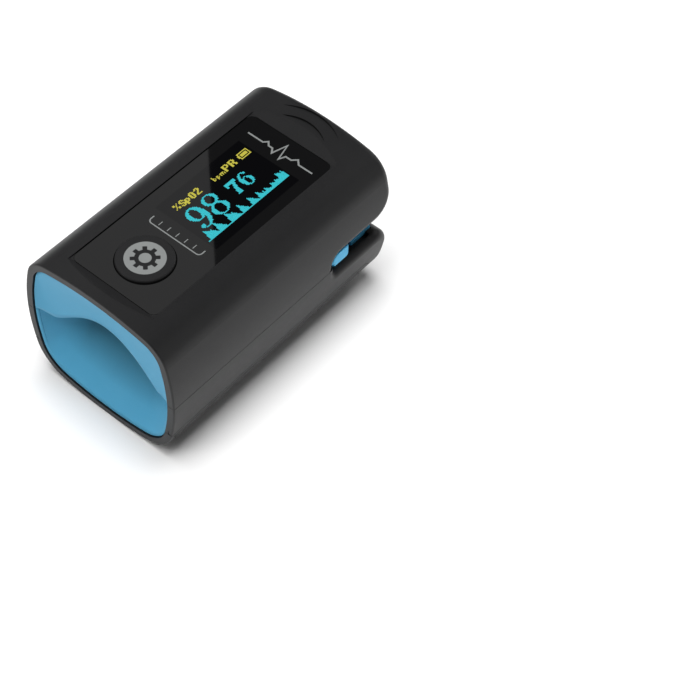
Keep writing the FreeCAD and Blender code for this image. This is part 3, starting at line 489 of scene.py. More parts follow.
# a flat outline raised into a thin solid, its edges eased by a bevel
def slab(name, outline, low, high, material, ease=0.0, holes=()):
    curve = bpy.data.curves.new(name, "CURVE")
    curve.dimensions = "2D"
    curve.fill_mode = "BOTH"
    for loop in (outline, *holes):
        spline = curve.splines.new("POLY")
        spline.points.add(len(loop) - 1)
        for spot, (x, y) in zip(spline.points, loop):
            spot.co = (x * mm, y * mm, 0, 1)
        spline.use_cyclic_u = True
    curve.extrude = (high - low) / 2 * mm
    mesh = curveMesh(name, curve, material)
    mesh.transform(Matrix.Translation((0, 0, (low + high) / 2 * mm)))
    piece = facingOut(linked(name, mesh))
    return eased(piece, ease) if ease else piece


# a closed section drawn at two places, joined into a solid; spots are the two copies' points
def prism(name, spots, material):
    n = len(spots) // 2
    faces = [tuple(range(n)), tuple(range(2 * n - 1, n - 1, -1))]
    faces += [(i, i + n, (i + 1) % n + n, (i + 1) % n) for i in range(n)]
    return facingOut(meshPiece(name, spots, faces, material))


def smoothStep(t):
    t = min(1.0, max(0.0, t))
    return t * t * (3 - 2 * t)


# a Geometry Nodes recipe under construction, with named sizes
class Recipe:
    def __init__(self, name, sizes):
        self.tree = bpy.data.node_groups.new(name, "GeometryNodeTree")
        self.tree.interface.new_socket("Geometry", in_out="INPUT",
                                       socket_type="NodeSocketGeometry")
        self.ids = {}
        for label, value in sizes.items():
            kind = "NodeSocketInt" if isinstance(value, int) else "NodeSocketFloat"
            socket = self.tree.interface.new_socket(label, in_out="INPUT", socket_type=kind)
            socket.default_value = value
            self.ids[label] = socket.identifier
        self.tree.interface.new_socket("Geometry", in_out="OUTPUT",
                                       socket_type="NodeSocketGeometry")
        self.source = self.tree.nodes.new("NodeGroupInput")

    def given(self, label):
        return self.source.outputs[label]

    def add(self, kind, settings=None, inputs=None, out=0):
        node = self.tree.nodes.new(kind)
        for key, value in (settings or {}).items():
            setattr(node, key, value)
        for key, value in (inputs or {}).items():
            if isinstance(value, bpy.types.NodeSocket):
                self.tree.links.new(value, node.inputs[key])
            else:
                node.inputs[key].default_value = value
        return node.outputs[out]

    # always ends as one real mesh with its finish
    def close(self, geometry, material):
        real = self.add("GeometryNodeRealizeInstances", {}, {"Geometry": geometry})
        painted = self.add("GeometryNodeSetMaterial", {},
                           {"Geometry": real, "Material": material})
        out = self.tree.nodes.new("NodeGroupOutput")
        self.tree.links.new(painted, out.inputs[0])
        return self

    def run(self, piece, sizes=None):
        modifier = piece.modifiers.new("recipe", "NODES")
        modifier.node_group = self.tree
        for label, value in (sizes or {}).items():
            modifier[self.ids[label]] = value
        return settled(piece)


# one small box on each point
def boxesOn(name, points, size, material):
    labels = ("Long", "Wide", "Thick")
    recipe = Recipe(name, {label: side * mm for label, side in zip(labels, size)})
    sides = recipe.add("ShaderNodeCombineXYZ", {}, {
        axis: recipe.given(label) for axis, label in zip("XYZ", labels)})
    box = recipe.add("GeometryNodeMeshCube", {}, {"Size": sides})
    spots = recipe.add("GeometryNodeMeshToPoints", {}, {"Mesh": recipe.given("Geometry")})
    spread = recipe.add("GeometryNodeInstanceOnPoints", {}, {"Points": spots, "Instance": box})
    recipe.close(spread, material)
    return recipe.run(meshPiece(name, points, [], material, smooth=False))


# the case's section: arched roof and base, bowed sides, rounded corners between them
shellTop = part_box("top_shell")[1] / mm
case = {"half": shellTop.x, "top": shellTop.z, "seam": 16.6, "roof": 58.0, "side": 40.0,
        "base": 56.0, "flat": 0.15, "roofCorner": 6.4, "baseCorner": 8.2, "wall": 1.6}


# half of the case's outline set in by a distance, from the +X seam over to the -X seam
def caseHalf(upper, inset, steps=(8, 14, 22)):
    sign = 1 if upper else -1
    large = case["roof"] if upper else case["base"]
    corner = case["roofCorner"] if upper else case["baseCorner"]
    seam = case["seam"]
    height = (case["top"] - seam) if upper else (seam + case["flat"])
    hub = Vector((0, height - large))
    flank = Vector((case["half"] - case["side"], 0))
    a, b = large - corner, case["side"] - corner
    span = flank - hub
    along = (a * a - b * b + span.length_squared) / (2 * span.length)
    across = math.sqrt(a * a - along * along)
    unit = span.normalized()
    spots = [hub + unit * along + Vector((-unit.y, unit.x)) * across * s for s in (1, -1)]
    knee = max(spots, key=lambda spot: spot.x)
    turnA = math.atan2((knee - flank).y, (knee - flank).x)
    turnB = math.atan2((knee - hub).y, (knee - hub).x)
    points = []
    for centre, radius, start, end, count in (
            (flank, case["side"] - inset, 0.0, turnA, steps[0]),
            (knee, corner - inset, turnA, turnB, steps[1]),
            (hub, large - inset, turnB, math.pi / 2, steps[2])):
        for i in range(count):
            angle = start + (end - start) * i / count
            points.append(centre + Vector((math.cos(angle), math.sin(angle))) * radius)
    whole = points + [hub + Vector((0, large - inset))]
    whole += [Vector((-p.x, p.y)) for p in reversed(points)]
    return [(p.x, seam + sign * p.y) for p in whole]


def ovalAt(half, tall, power, angle):
    across, up = math.cos(angle), math.sin(angle)
    reach = (abs(across) ** power + abs(up) ** power) ** (-1 / power)
    return half * across * reach, tall * up * reach


# rimRings give each ring's way in from the wall and back from the front, lipTurn the way
# that the lip turns back on itself, and stop the heights of the rings over the finger stop
mouth = {"rim": -29.7, "rimRings": ((0.0, 0.35), (0.07, 0.10), (0.16, 0.0)), "gap": 0.1,
         "lipBack": -27.8, "lipDip": 15.8, "lipTop": 22.4, "lipFlank": 12.5, "lipPower": 2.6,
         "lipBell": 1.5, "lipSweep": 4, "lipSteps": 12, "hollow": 0.35, "hollowSweep": 6,
         "lipTurn": ((0.0, 0.0), (0.10, 0.03), (0.28, 0.12), (0.55, 0.30)),
         "turnSteps": 8, "upperThroat": -23.5, "throat": -19.3, "flare": 1.35, "flareSteps": 26,
         "half": 11.6, "floor": 14.9, "ceiling": 22.4, "end": 9.3, "power": 2.4, "runs": 12,
         "stop": (0.96, 0.8, 0.5, 0.2, 0.0), "stopBulge": 0.25, "stopIn": (0.99, 0.97),
         "tuck": 0.999, "thick": 0.55, "seamGap": 0.05, "land": 0.02, "landReach": 0.25,
         "window": 3.04, "windowY": 0.5, "windowDeep": 6, "upperWindow": 23.0,
         "lowerWindow": 14.2}


# the bell-shaped edge of the upper lip
def lipEdge(angles, wide, seam):
    edge = []
    dip, flank = mouth["lipDip"], mouth["lipFlank"]
    for angle in angles:
        x = ovalAt(wide, 1.0, mouth["lipPower"], angle)[0]
        share = min(1.0, abs(x) / flank)
        z = dip + (mouth["lipTop"] - dip) * (1 - share ** 2) ** mouth["lipBell"]
        if abs(x) > flank:
            z = dip + (seam - dip) * smoothStep((abs(x) - flank) / (wide - flank))
        sweep = (abs(x) / wide) ** mouth["lipSweep"]
        edge.append((x, mouth["lipBack"] + (mouth["rim"] - mouth["lipBack"]) * sweep, z))
    return edge


# from the rim up the lip's face, round its edge and back to the throat
def upperRings(rim, angles, throat, wide, seam):
    rings = []
    edge = lipEdge(angles, wide, seam)
    for step in range(1, mouth["lipSteps"]):
        t = step / mouth["lipSteps"]
        dent = mouth["hollow"] * math.sin(math.pi * t)
        rings.append([(rx + (ex - rx) * t,
                       mouth["rim"] + (ey - mouth["rim"]) * t
                       + dent * (1 - (abs(ex) / wide) ** mouth["hollowSweep"]),
                       rz + (ez - rz) * t)
                      for (rx, rz), (ex, ey, ez) in zip(rim, edge)])
    for back, up in mouth["lipTurn"]:
        rings.append([(x, y + back, z + up * (1 - (abs(x) / wide) ** 2)) for x, y, z in edge])
    last = rings[-1]
    for step in range(1, mouth["turnSteps"] + 1):
        t = step / mouth["turnSteps"]
        ease = smoothStep(t)
        rings.append([(x + (cx - x) * ease, y + (mouth["upperThroat"] - y) * t,
                       z + (seam + cz * mouth["tuck"] - z) * ease)
                      for (x, y, z), (cx, cz) in zip(last, throat)])
    return rings


# from the rim down the funnel to the throat
def lowerRings(rim, throat, seam):
    rings = []
    for step in range(1, mouth["flareSteps"] + 1):
        t = step / mouth["flareSteps"]
        ease = 1 - (1 - t) ** mouth["flare"]
        y = mouth["rim"] + (mouth["throat"] - mouth["rim"]) * t
        rings.append([(rx + (cx - rx) * ease, y, rz + (seam + cz - rz) * ease)
                      for (rx, rz), (cx, cz) in zip(rim, throat)])
    return rings


# rings of points from the rim into the channel and over the finger stop
def padSurface(name, upper):
    seam = case["seam"] + (mouth["seamGap"] if upper else -mouth["seamGap"])
    wall = case["wall"] + mouth["gap"]
    rims = [(caseHalf(upper, wall + inset), mouth["rim"] + back)
            for inset, back in mouth["rimRings"]]
    rim = rims[-1][0]
    tall = max(abs(z - case["seam"]) for x, z in rim)
    wide = max(x for x, z in rim)
    angles = [math.atan2(abs(z - case["seam"]) / tall, x / wide) for x, z in rim]
    reach = (mouth["ceiling"] if upper else mouth["floor"]) - case["seam"]
    throat = [ovalAt(mouth["half"], reach, mouth["power"], angle) for angle in angles]
    rings = [[(x, y, z) for x, z in points] for points, y in rims]
    if upper:
        rings += upperRings(rim, angles, throat, wide, seam)
    else:
        rings += lowerRings(rim, throat, seam)
    start = mouth["upperThroat"] if upper else mouth["throat"]
    for step in range(1, mouth["runs"] + 1):
        y = start + (mouth["end"] - start) * step / mouth["runs"]
        rings.append([(cx, y, seam + cz) for cx, cz in throat])
    for k in mouth["stop"]:
        inward = mouth["stopIn"][k < mouth["stop"][0]]
        rings.append([(cx * inward, mouth["end"] + mouth["stopBulge"] * (1 - k), seam + cz * k)
                      for cx, cz in throat])
    shape = bmesh.new()
    grid = []
    land = case["half"] - wall - mouth["land"]
    for ring in rings:  # each ring ends on the flat land along the seam
        y = ring[0][1]
        near = ring[0][0] > land - mouth["landReach"]
        ends = [(side * (ring[0][0] if near else land), y, seam) for side in (1, -1)]
        inner = [(x, yy, seam if i in (0, len(ring) - 1) else z)
                 for i, (x, yy, z) in enumerate(ring)]
        row = [ends[0], *inner, ends[1]]
        grid.append([shape.verts.new(scaled(point, mm)) for point in row])
    for first, second in zip(grid, grid[1:]):
        for i in range(len(first) - 1):
            corners = (first[i], first[i + 1], second[i + 1], second[i])
            shape.faces.new(corners if upper else corners[::-1])
    bmesh.ops.remove_doubles(shape, verts=shape.verts, dist=2e-6)
    piece = walled(linked(name, meshFrom(shape, name, silicone)), mouth["thick"], -1)
    piece.data.shade_smooth()
    return piece


# cuts the round hatch of a sensor window
def windowHatch(piece, z):
    shape = bmesh.new()
    radius = mouth["window"] * mm
    bmesh.ops.create_cone(shape, cap_ends=True, segments=64, radius1=radius, radius2=radius,
                          depth=mouth["windowDeep"] * mm,
                          matrix=Matrix.Translation((0, mouth["windowY"] * mm, z * mm)))
    cutter = linked("hatch", meshFrom(shape, "hatch"))
    cut = piece.modifiers.new("hatch", "BOOLEAN")
    cut.operation = "DIFFERENCE"
    cut.solver = "EXACT"
    cut.object = cutter
    settled(piece)
    bpy.data.objects.remove(cutter)
    return piece


skirt = {"thick": 1.4, "gap": 0.02, "foot": 0.08, "rows": 8, "steps": (24, 24, 4),
         "front": -22.4, "upperEnd": 17.6, "upperTop": 20.5, "lowerEnd": 17.0, "lowerTop": 14.45,
         "lowerFoot": 13.75, "ease": 0.3, "easeAngle": 40}


# a side wall that lines the case, from the seam to a height, along part of the length
def sideSkirt(name, side, upper, y0, y1, z0, z1):
    wall = case["wall"] + mouth["gap"]
    lines = []
    for inset in (wall + skirt["gap"], wall + skirt["thick"]):
        points = [p for p in caseHalf(upper, inset, skirt["steps"]) if p[0] > 0]
        points.sort(key=lambda p: p[1])
        line = []
        for i in range(skirt["rows"] + 1):
            z = z0 + (z1 - z0) * i / skirt["rows"]
            for (xa, za), (xb, zb) in zip(points, points[1:]):
                if za <= z <= zb:
                    line.append((xa + (xb - xa) * (z - za) / max(zb - za, 1e-9), z))
                    break
        lines.append(line)
    loop = lines[0] + lines[1][::-1]
    wallPiece = prism(name, [(side * x, y, z) for y in (y0, y1) for x, z in loop], silicone)
    eased(wallPiece, skirt["ease"], skirt["easeAngle"], hard=False)
    wallPiece.data.shade_smooth()
    return wallPiece


# points along part of a circle, its angles in degrees
def arcPoints(cx, cy, radius, start, end, steps=8):
    return [(cx + radius * math.cos(math.radians(start + (end - start) * i / steps)),
             cy + radius * math.sin(math.radians(start + (end - start) * i / steps)))
            for i in range(steps + 1)]


# an outline with each corner turned into an arc of one radius
def roundedOutline(corners, radius, steps=6):
    points = []
    count = len(corners)
    for i, corner in enumerate(corners):
        here = Vector(corner)
        back = (Vector(corners[i - 1]) - here).normalized()
        ahead = (Vector(corners[(i + 1) % count]) - here).normalized()
        half = math.acos(max(-1.0, min(1.0, back.dot(ahead)))) / 2
        reach = radius / math.tan(half)
        a, b = here + back * reach, here + ahead * reach
        hub = here + (back + ahead).normalized() * (radius / math.sin(half))
        start = math.atan2(a.y - hub.y, a.x - hub.x)
        turn = math.atan2(b.y - hub.y, b.x - hub.x) - start
        turn = (turn + math.pi) % (2 * math.pi) - math.pi
        for k in range(steps + 1):
            angle = start + turn * k / steps
            points.append((hub.x + radius * math.cos(angle), hub.y + radius * math.sin(angle)))
    return points


# the deck on the tail and the thinner web in front of it, with a slot for the cable
flap = {"front": 9.6, "webFront": 10.9, "neck": 18.4, "deckFront": 18.0, "step": 21.0,
        "end": 26.75, "inside": 12.55, "narrow": 14.3, "half": 15.1, "low": 13.72, "web": 14.3,
        "top": 14.6, "round": 0.35, "ease": 0.25, "webRound": 0.3, "webEase": 0.15,
        "slotHalf": 2.7, "slotY": (14.1, 15.0), "slotRound": 0.2}


def tailFlap():
    outline = []
    for side in (1, -1):
        run = [(flap["narrow"], flap["deckFront"]), (flap["narrow"], flap["step"]),
               (flap["half"], flap["step"]), (flap["half"], flap["end"])]
        outline += [(side * x, y) for x, y in (run if side > 0 else run[::-1])]
    deck = slab("tailDeck", roundedOutline(outline, flap["round"]), flap["low"], flap["top"],
                silicone, flap["ease"])
    x, y0, y1 = flap["inside"], flap["webFront"], flap["neck"]
    plate = roundedOutline([(x, y0), (x, y1), (-x, y1), (-x, y0)], flap["webRound"])
    x, (y0, y1) = flap["slotHalf"], flap["slotY"]
    slot = roundedOutline([(-x, y0), (-x, y1), (x, y1), (x, y0)], flap["slotRound"], 3)
    web = slab("tailWeb", plate, flap["low"], flap["web"], silicone, flap["webEase"],
               holes=[slot])
    return [deck, web]


# its arc is in degrees, from the nose up to the roof
tailBlock = {"inner": 15.4, "outer": 17.3, "low": 15.9, "roof": 18.9, "front": 13.55,
             "tip": 12.87, "tipZ": 16.72, "end": 17.6, "round": 2.2, "arc": (178, 90),
             "foot": 0.6, "chamfer": 0.18, "ease": 0.3}


# the block that fills the front of the gap between the tails
def gapBlock(side):
    b = tailBlock
    loop = [(b["end"] - b["foot"], b["low"]), (b["front"], b["low"]), (b["front"], b["tipZ"])]
    loop += arcPoints(b["tip"] + b["round"], b["roof"] - b["round"], b["round"], *b["arc"], 9)
    loop += [(b["end"], b["roof"]), (b["end"], b["low"] + b["foot"]),
             (b["end"] - b["chamfer"], b["low"] + b["chamfer"])]
    spots = [(side * x, y, z) for x in (b["inner"], b["outer"]) for y, z in loop]
    return eased(prism("gapBlock", spots, silicone), b["ease"])


def makePads():
    upper = windowHatch(padSurface("upperLiner", True), mouth["upperWindow"])
    lower = windowHatch(padSurface("lowerLiner", False), mouth["lowerWindow"])
    uppers = [upper]
    uppers += [sideSkirt("upperSkirt", side, True, skirt["front"], skirt["upperEnd"],
                         case["seam"] + skirt["foot"], skirt["upperTop"]) for side in (1, -1)]
    uppers += [gapBlock(side) for side in (1, -1)]
    lowers = [lower] + tailFlap()
    lowers += [sideSkirt("lowerSkirt", side, False, flap["front"], skirt["lowerEnd"],
                         skirt["lowerFoot"], skirt["lowerTop"]) for side in (1, -1)]
    for name, pieces, body, node in (("upperPad", uppers, "upper_half", "upper_pad"),
                                     ("lowerPad", lowers, "lower_half", "lower_pad")):
        padPiece = joined(name, pieces)
        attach(padPiece, body)
        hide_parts(node)


makePads()
print("pads made")


# the lit face: cells of one pitch, each a small raised square
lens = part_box("display_lens")
face = lens[1].z / mm
screen = {"x": -7.1, "y": -7.4, "pitch": 0.228, "dot": 0.212, "proud": 0.012,
          "cyan": (0.040, 0.58, 0.66), "yellow": (0.62, 0.56, 0.07), "glow": 0.9}

# small letters of the unit labels, drawn in dots
letters = {
    "%": ("##..#", "##.#.", "..#..", "..#..", ".#.##", "#..##", "....."),
    "S": (".###.", "##.##", "##...", ".###.", "...##", "##.##", ".###."),
    "p": (".....", ".....", "####.", "##.##", "##.##", "####.", "##...", "##..."),
    "O": (".###.", "##.##", "##.##", "##.##", "##.##", "##.##", ".###."),
    "2": (".###.", "##.##", "...##", "..##.", ".##..", "##...", "#####"),
    "b": ("#..", "#..", "##.", "#.#", "##."),
    "r": ("...", "...", "##.", "#.#", "##.", "#.."),
    "m": (".....", ".....", "####.", "#.#.#", "#.#.#"),
    "P": ("#####.", "##..##", "##..##", "#####.", "##....", "##....", "##...."),
    "R": ("#####.", "##..##", "##..##", "#####.", "##.##.", "##..##", "##..##"),
}
labels = [("%", 9, 9), ("S", 15, 9), ("p", 20, 9), ("O", 26, 9), ("2", 32, 9),
          ("b", 51, 11), ("r", 55, 11), ("m", 59, 11), ("P", 65, 9), ("R", 72, 9)]
batterySign = {"left": 82, "right": 94, "top": 9, "foot": 16}

# numerals: which, left, top, width and height
digits = [("9", 8, 20, 16, 24), ("8", 26, 20, 16, 24), ("7", 52, 24, 11, 15),
          ("6", 64, 24, 11, 15)]

# their thick and thin strokes in a unit box: ovals are middles and half sizes
numeral = {
    "8": {"ovals": ((0.5, 0.755, 0.45, 0.245), (0.5, 0.275, 0.50, 0.275)),
          "eyes": ((0.5, 0.765, 0.24, 0.19), (0.5, 0.27, 0.27, 0.225))},
    "9": {"bowl": (0.46, 0.68, 0.46, 0.32), "bowlEye": (0.47, 0.68, 0.23, 0.265),
          "back": (0.44, 0.5, 0.56, 0.5), "backEye": (0.36, 0.5, 0.40, 0.455),
          "ball": (0.20, 0.13, 0.13, 0.085), "backFrom": 0.5, "tailFrom": 0.2, "tailTop": 0.2},
    "7": {"barFoot": 0.80, "barFrom": 0.02, "serifTo": 0.16, "serifFoot": 0.66, "foot": 0.42,
          "lean": 0.46, "curve": 1.9, "stem": 0.20, "taper": 0.09, "stemTop": 0.9},
}
boldSmall = {"under": 20, "by": 0.03}

# each beat: where it starts, its height, how far it falls, and a second hump's place and height
beats = [(4, 11, 10, 5, 8), (15, 11, 8, 0, 0), (28, 11, 11, 5, 8), (41, 10, 7, 0, 0),
         (52, 9, 8, 4, 4), (61, 8, 6, 0, 0), (66, 5, 3, 0, 0), (69, 6, 7, 0, 0),
         (76, 6, 9, 5, 6), (81, 6, 9, 4, 5), (86, 10, 14, 5, 9)]
trace = {"foot": 55, "first": 2, "last": 95, "rise": 2, "humpFall": 1.6}


def inOval(u, v, oval, bold=0.0):
    cu, cv, ru, rv = oval
    return ((u - cu) / (ru - bold)) ** 2 + ((v - cv) / rv) ** 2 <= 1


def inDigit(which, u, v, bold):
    if which == "6":
        return inDigit("9", 1 - u, 1 - v, bold)
    part = numeral[which]
    if which == "8":
        return any(inOval(u, v, oval) for oval in part["ovals"]) and not (
            any(inOval(u, v, eye, bold) for eye in part["eyes"]))
    if which == "9":
        bowl = inOval(u, v, part["bowl"]) and not inOval(u, v, part["bowlEye"], bold)
        back = inOval(u, v, part["back"]) and not inOval(u, v, part["backEye"], bold)
        behind = u > part["backFrom"] or (u > part["tailFrom"] and v < part["tailTop"])
        return bowl or inOval(u, v, part["ball"]) or (back and behind)
    bar = v > part["barFoot"] and u > part["barFrom"]
    serif = u < part["serifTo"] and v > part["serifFoot"]
    middle = part["foot"] + part["lean"] * v ** part["curve"]
    stem = abs(u - middle) < part["stem"] - part["taper"] * v
    return bar or serif or (stem and v < part["stemTop"])


def traceHeight(column):
    height = 1.0
    for start, tall, fall, hump, humpTall in beats:
        step = column - start
        if 0 <= step <= trace["rise"]:
            height = max(height, tall * step / trace["rise"])
        elif step > trace["rise"]:
            height = max(height, tall * (1 - (step - trace["rise"]) / fall))
            if hump:
                height = max(height, humpTall - trace["humpFall"] * abs(step - trace["rise"] - hump))
    return height


def litCells():
    cyan, yellow = set(), set()
    for which, left, upper, wide, tall in digits:
        bold = boldSmall["by"] if tall < boldSmall["under"] else 0.0
        for i in range(wide):
            for j in range(tall):
                if inDigit(which, (i + 0.5) / wide, 1 - (j + 0.5) / tall, bold):
                    cyan.add((left + i, upper + j))
    for column in range(trace["first"], trace["last"]):
        for rise in range(max(1, round(traceHeight(column)))):
            cyan.add((column, trace["foot"] - 1 - rise))
    for letter, left, upper in labels:
        for j, line in enumerate(letters[letter]):
            for i, mark in enumerate(line):
                if mark == "#":
                    yellow.add((left + i, upper + j))
    sign = batterySign
    for i in range(sign["left"], sign["right"]):
        for j in range(sign["top"], sign["foot"]):
            edge = i in (sign["left"] + 1, sign["right"] - 1) or j in (sign["top"],
                                                                       sign["foot"] - 1)
            charge = sign["left"] + 2 < i < sign["right"] - 2 and (
                sign["top"] + 1 < j < sign["foot"] - 2)
            nub = i == sign["left"] and sign["top"] + 1 < j < sign["foot"] - 2
            if nub or (i > sign["left"] and (edge or charge)):
                yellow.add((i, j))
    return {"cyan": cyan, "yellow": yellow}


def makeReadout():
    for name, cells in litCells().items():
        lit = litFinish(name + "Light", screen[name], screen["glow"])
        points = [(screen["x"] + (row + 0.5) * screen["pitch"],
                   screen["y"] + (column + 0.5) * screen["pitch"], face + screen["proud"])
                  for column, row in sorted(cells)]
        size = (screen["dot"], screen["dot"], screen["proud"])
        piece = boxesOn(name + "Dots", points, size, lit)
        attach(piece, "upper_half")


makeReadout()
print("readout lit")


# the window over the display, and the seat it lies in
pane = {"corner": 1.3, "hole": 5.5, "holeSteps": 96, "ease": 0.22, "gap": 0.06, "seat": 1.0,
        "proud": 0.01, "steps": 8}
button = [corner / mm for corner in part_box("power_button")]
buttonAt = (button[0] + button[1]) / 2


# a closed outline about the button, whose radius may change with the angle
def aboutButton(count, radius):
    turns = [2 * math.pi * i / count for i in range(count)]
    return [(buttonAt.x + radius(a) * math.cos(a), buttonAt.y + radius(a) * math.sin(a))
            for a in turns]


def makePane():
    x0, y0, z0 = (c / mm for c in lens[0])
    x1, y1, z1 = (c / mm for c in lens[1])
    reach, gap = pane["corner"], pane["gap"]
    outline = roundedOutline([(x1, y0), (x1, y1), (x0, y1), (x0, y0)], reach, pane["steps"])
    hole = aboutButton(pane["holeSteps"], lambda angle: pane["hole"])
    piece = slab("lensPane", outline, z0, z1, lensFinish(), pane["ease"], holes=[hole])
    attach(piece, "upper_half")
    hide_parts("display_lens")
    fillets = []  # they round the square corners of the seat
    for sx, sy, x, y in ((1, 1, x1, y1), (-1, 1, x0, y1), (-1, -1, x0, y0), (1, -1, x1, y0)):
        arc = arcPoints(0, 0, reach + gap, *((0, 90) if sx * sy > 0 else (90, 0)))
        arc = [(x + sx * (px - reach), y + sy * (py - reach)) for px, py in arc]
        fillets.append(slab("seatCorner", [(x + sx * gap * 2, y + sy * gap * 2), *arc],
                            z1 - pane["seat"], z1 + pane["proud"], shellFinish))
    corners = joined("seatCorners", fillets)
    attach(corners, "upper_half")


makePane()
print("pane made")

tongue = {"x": 16.5, "half": 0.40, "front": -29.92, "back": -28.9, "low": 7.5, "top": 8.88,
          "ease": 0.12}


# fills the mouths of the grooves that the cover's tongues run in
def makeTongueEnds():
    plugs = []
    for side in (1, -1):
        x0, x1 = (side * tongue["x"] + way * tongue["half"] for way in (-1, 1))
        y0, y1 = tongue["front"], tongue["back"]
        plugs.append(slab("tongueEnd", [(x0, y0), (x1, y0), (x1, y1), (x0, y1)],
                          tongue["low"], tongue["top"], shellFinish, tongue["ease"]))
    ends = joined("tongueEnds", plugs)
    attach(ends, "cover")


makeTongueEnds()


# a scale bracket with ticks, and a plain pulse line at the other end
ink = {"thick": 0.02, "line": 0.24, "barY": -10.5, "left": -5.85, "right": 6.3, "hookY": -8.95,
       "bend": 0.75, "tickY": (-10.0, -8.95), "ticks": 5, "tickLine": 0.17,
       "markY": 17.3, "markLeft": -7.2, "markRight": 8.2, "markLine": 0.34, "mitre": 0.4,
       "pulse": ((-3.6, 0), (-2.9, 0.75), (-2.2, 0), (-1.3, 0), (-0.6, -1.0), (0.35, 2.3),
                 (1.3, -1.35), (1.9, 0), (3.2, 0), (4.1, 0.9), (5.0, 0))}


# a ribbon of one width along a path, its corners mitred and its ends square
def stroke(name, path, width, material):
    points = [Vector(p) for p in path]
    sides = []
    for i, here in enumerate(points):
        before = points[max(0, i - 1)]
        after = points[min(len(points) - 1, i + 1)]
        first = (here - before).normalized() if i else (after - here).normalized()
        second = (after - here).normalized() if i < len(points) - 1 else first
        along = (first + second).normalized()
        across = Vector((-along.y, along.x))
        stretch = 1 / max(ink["mitre"], across.dot(Vector((-first.y, first.x))))
        sides.append((here + across * width / 2 * stretch, here - across * width / 2 * stretch))
    outline = [tuple(a) for a, b in sides] + [tuple(b) for a, b in reversed(sides)]
    return slab(name, outline, face, face + ink["thick"], material)


def makePrints():
    bend = ink["bend"]
    bar = [(ink["left"], ink["hookY"])]
    bar += arcPoints(ink["left"] + bend, ink["barY"] + bend, bend, 180, 270)
    bar += arcPoints(ink["right"] - bend, ink["barY"] + bend, bend, 270, 360)
    bar += [(ink["right"], ink["hookY"])]
    pieces = [stroke("scaleBar", bar, ink["line"], greyPrint)]
    gap = (ink["right"] - ink["left"]) / (ink["ticks"] + 1)
    for i in range(ink["ticks"]):
        x = ink["left"] + gap * (i + 1)
        pieces.append(stroke("tick", [(x, ink["tickY"][0]), (x, ink["tickY"][1])],
                             ink["tickLine"], greyPrint))
    y = ink["markY"]
    shape = [(ink["markLeft"], y), *((x, y + rise) for x, rise in ink["pulse"]),
             (ink["markRight"], y)]
    pieces.append(stroke("pulseMark", shape, ink["markLine"], greyPrint))
    prints = joined("windowPrints", pieces)
    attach(prints, "upper_half")


makePrints()

# a plain gear mark, left clear in a printed disc on the button
gear = {"disc": 3.72, "tip": 2.66, "root": 1.92, "hub": 1.13, "teeth": 8, "toothShare": 0.20,
        "flank": 0.07, "thick": 0.02, "steps": 30}


def gearRadius(angle):
    step = 2 * math.pi / gear["teeth"]
    place = abs((angle / step + 0.5) % 1 - 0.5)
    rise = (gear["toothShare"] + gear["flank"] - place) / gear["flank"]
    return gear["root"] + (gear["tip"] - gear["root"]) * min(1.0, max(0.0, rise))


def makeGear():
    low, high = button[1].z, button[1].z + gear["thick"]
    count = gear["teeth"] * gear["steps"]
    disc = aboutButton(count, lambda angle: gear["disc"])
    ring = slab("gearField", disc, low, high, greyPrint, holes=[aboutButton(count, gearRadius)])
    hub = slab("gearHub", aboutButton(count, lambda angle: gear["hub"]), low, high, greyPrint)
    piece = joined("gearPrint", [ring, hub])
    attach(piece, "button")


makeGear()
print("prints made")


# a coil of round wire, turned from Z to its own axis and moved into place
def coilRecipe(name, sizes, turned, material):
    recipe = Recipe(name, sizes)
    spiral = recipe.add("GeometryNodeCurveSpiral", {}, {
        "Resolution": 24, "Rotations": recipe.given("Turns"), "Height": recipe.given("Length"),
        "Start Radius": recipe.given("Start radius"), "End Radius": recipe.given("End radius")})
    wire = recipe.add("GeometryNodeCurvePrimitiveCircle", {}, {
        "Resolution": 10, "Radius": recipe.given("Wire")})
    tube = recipe.add("GeometryNodeCurveToMesh", {}, {"Curve": spiral, "Profile Curve": wire,
                                                      "Fill Caps": True})
    offset = recipe.add("ShaderNodeCombineXYZ", {}, {axis: recipe.given(axis) for axis in "XYZ"})
    placed = recipe.add("GeometryNodeTransform", {}, {"Geometry": tube, "Translation": offset,
                                                      "Rotation": turned})
    return recipe.close(placed, material)


def emptyPiece(name):
    return linked(name, bpy.data.meshes.new(name))


def straightWire(name, start, end, radius, material):
    curve = bpy.data.curves.new(name, "CURVE")
    curve.dimensions = "3D"
    spline = curve.splines.new("POLY")
    spline.points.add(1)
    for spot, point in zip(spline.points, (start, end)):
        spot.co = (*scaled(point, mm), 1)
    curve.bevel_depth = radius * mm
    curve.bevel_resolution = 3
    curve.use_fill_caps = True
    mesh = curveMesh(name, curve, material)
    mesh.shade_smooth()
    return facingOut(linked(name, mesh))


# a path whose corners are rounded to one radius
def easedPath(path, bend, steps=7):
    spots = [Vector(p) for p in path]
    points = [spots[0]]
    for before, here, after in zip(spots, spots[1:], spots[2:]):
        back, ahead = (before - here), (after - here)
        reach = min(bend, back.length * 0.49, ahead.length * 0.49)
        a, b = here + back.normalized() * reach, here + ahead.normalized() * reach
        for i in range(steps + 1):
            t = i / steps
            points.append(a.lerp(here, t).lerp(here.lerp(b, t), t))
    return points + [spots[-1]]


# two torsion springs on the hinge pin
jawSpring = {"wire": 0.34, "radius": 1.6, "turns": 4.5, "inner": 6.95, "outer": 10.2, "leg": 4.0,
             "lap": 0.2}
hinge = Vector(next(j for j in frame["joints"] if j["name"] == "jaw_hinge")["pos_m"]) / mm


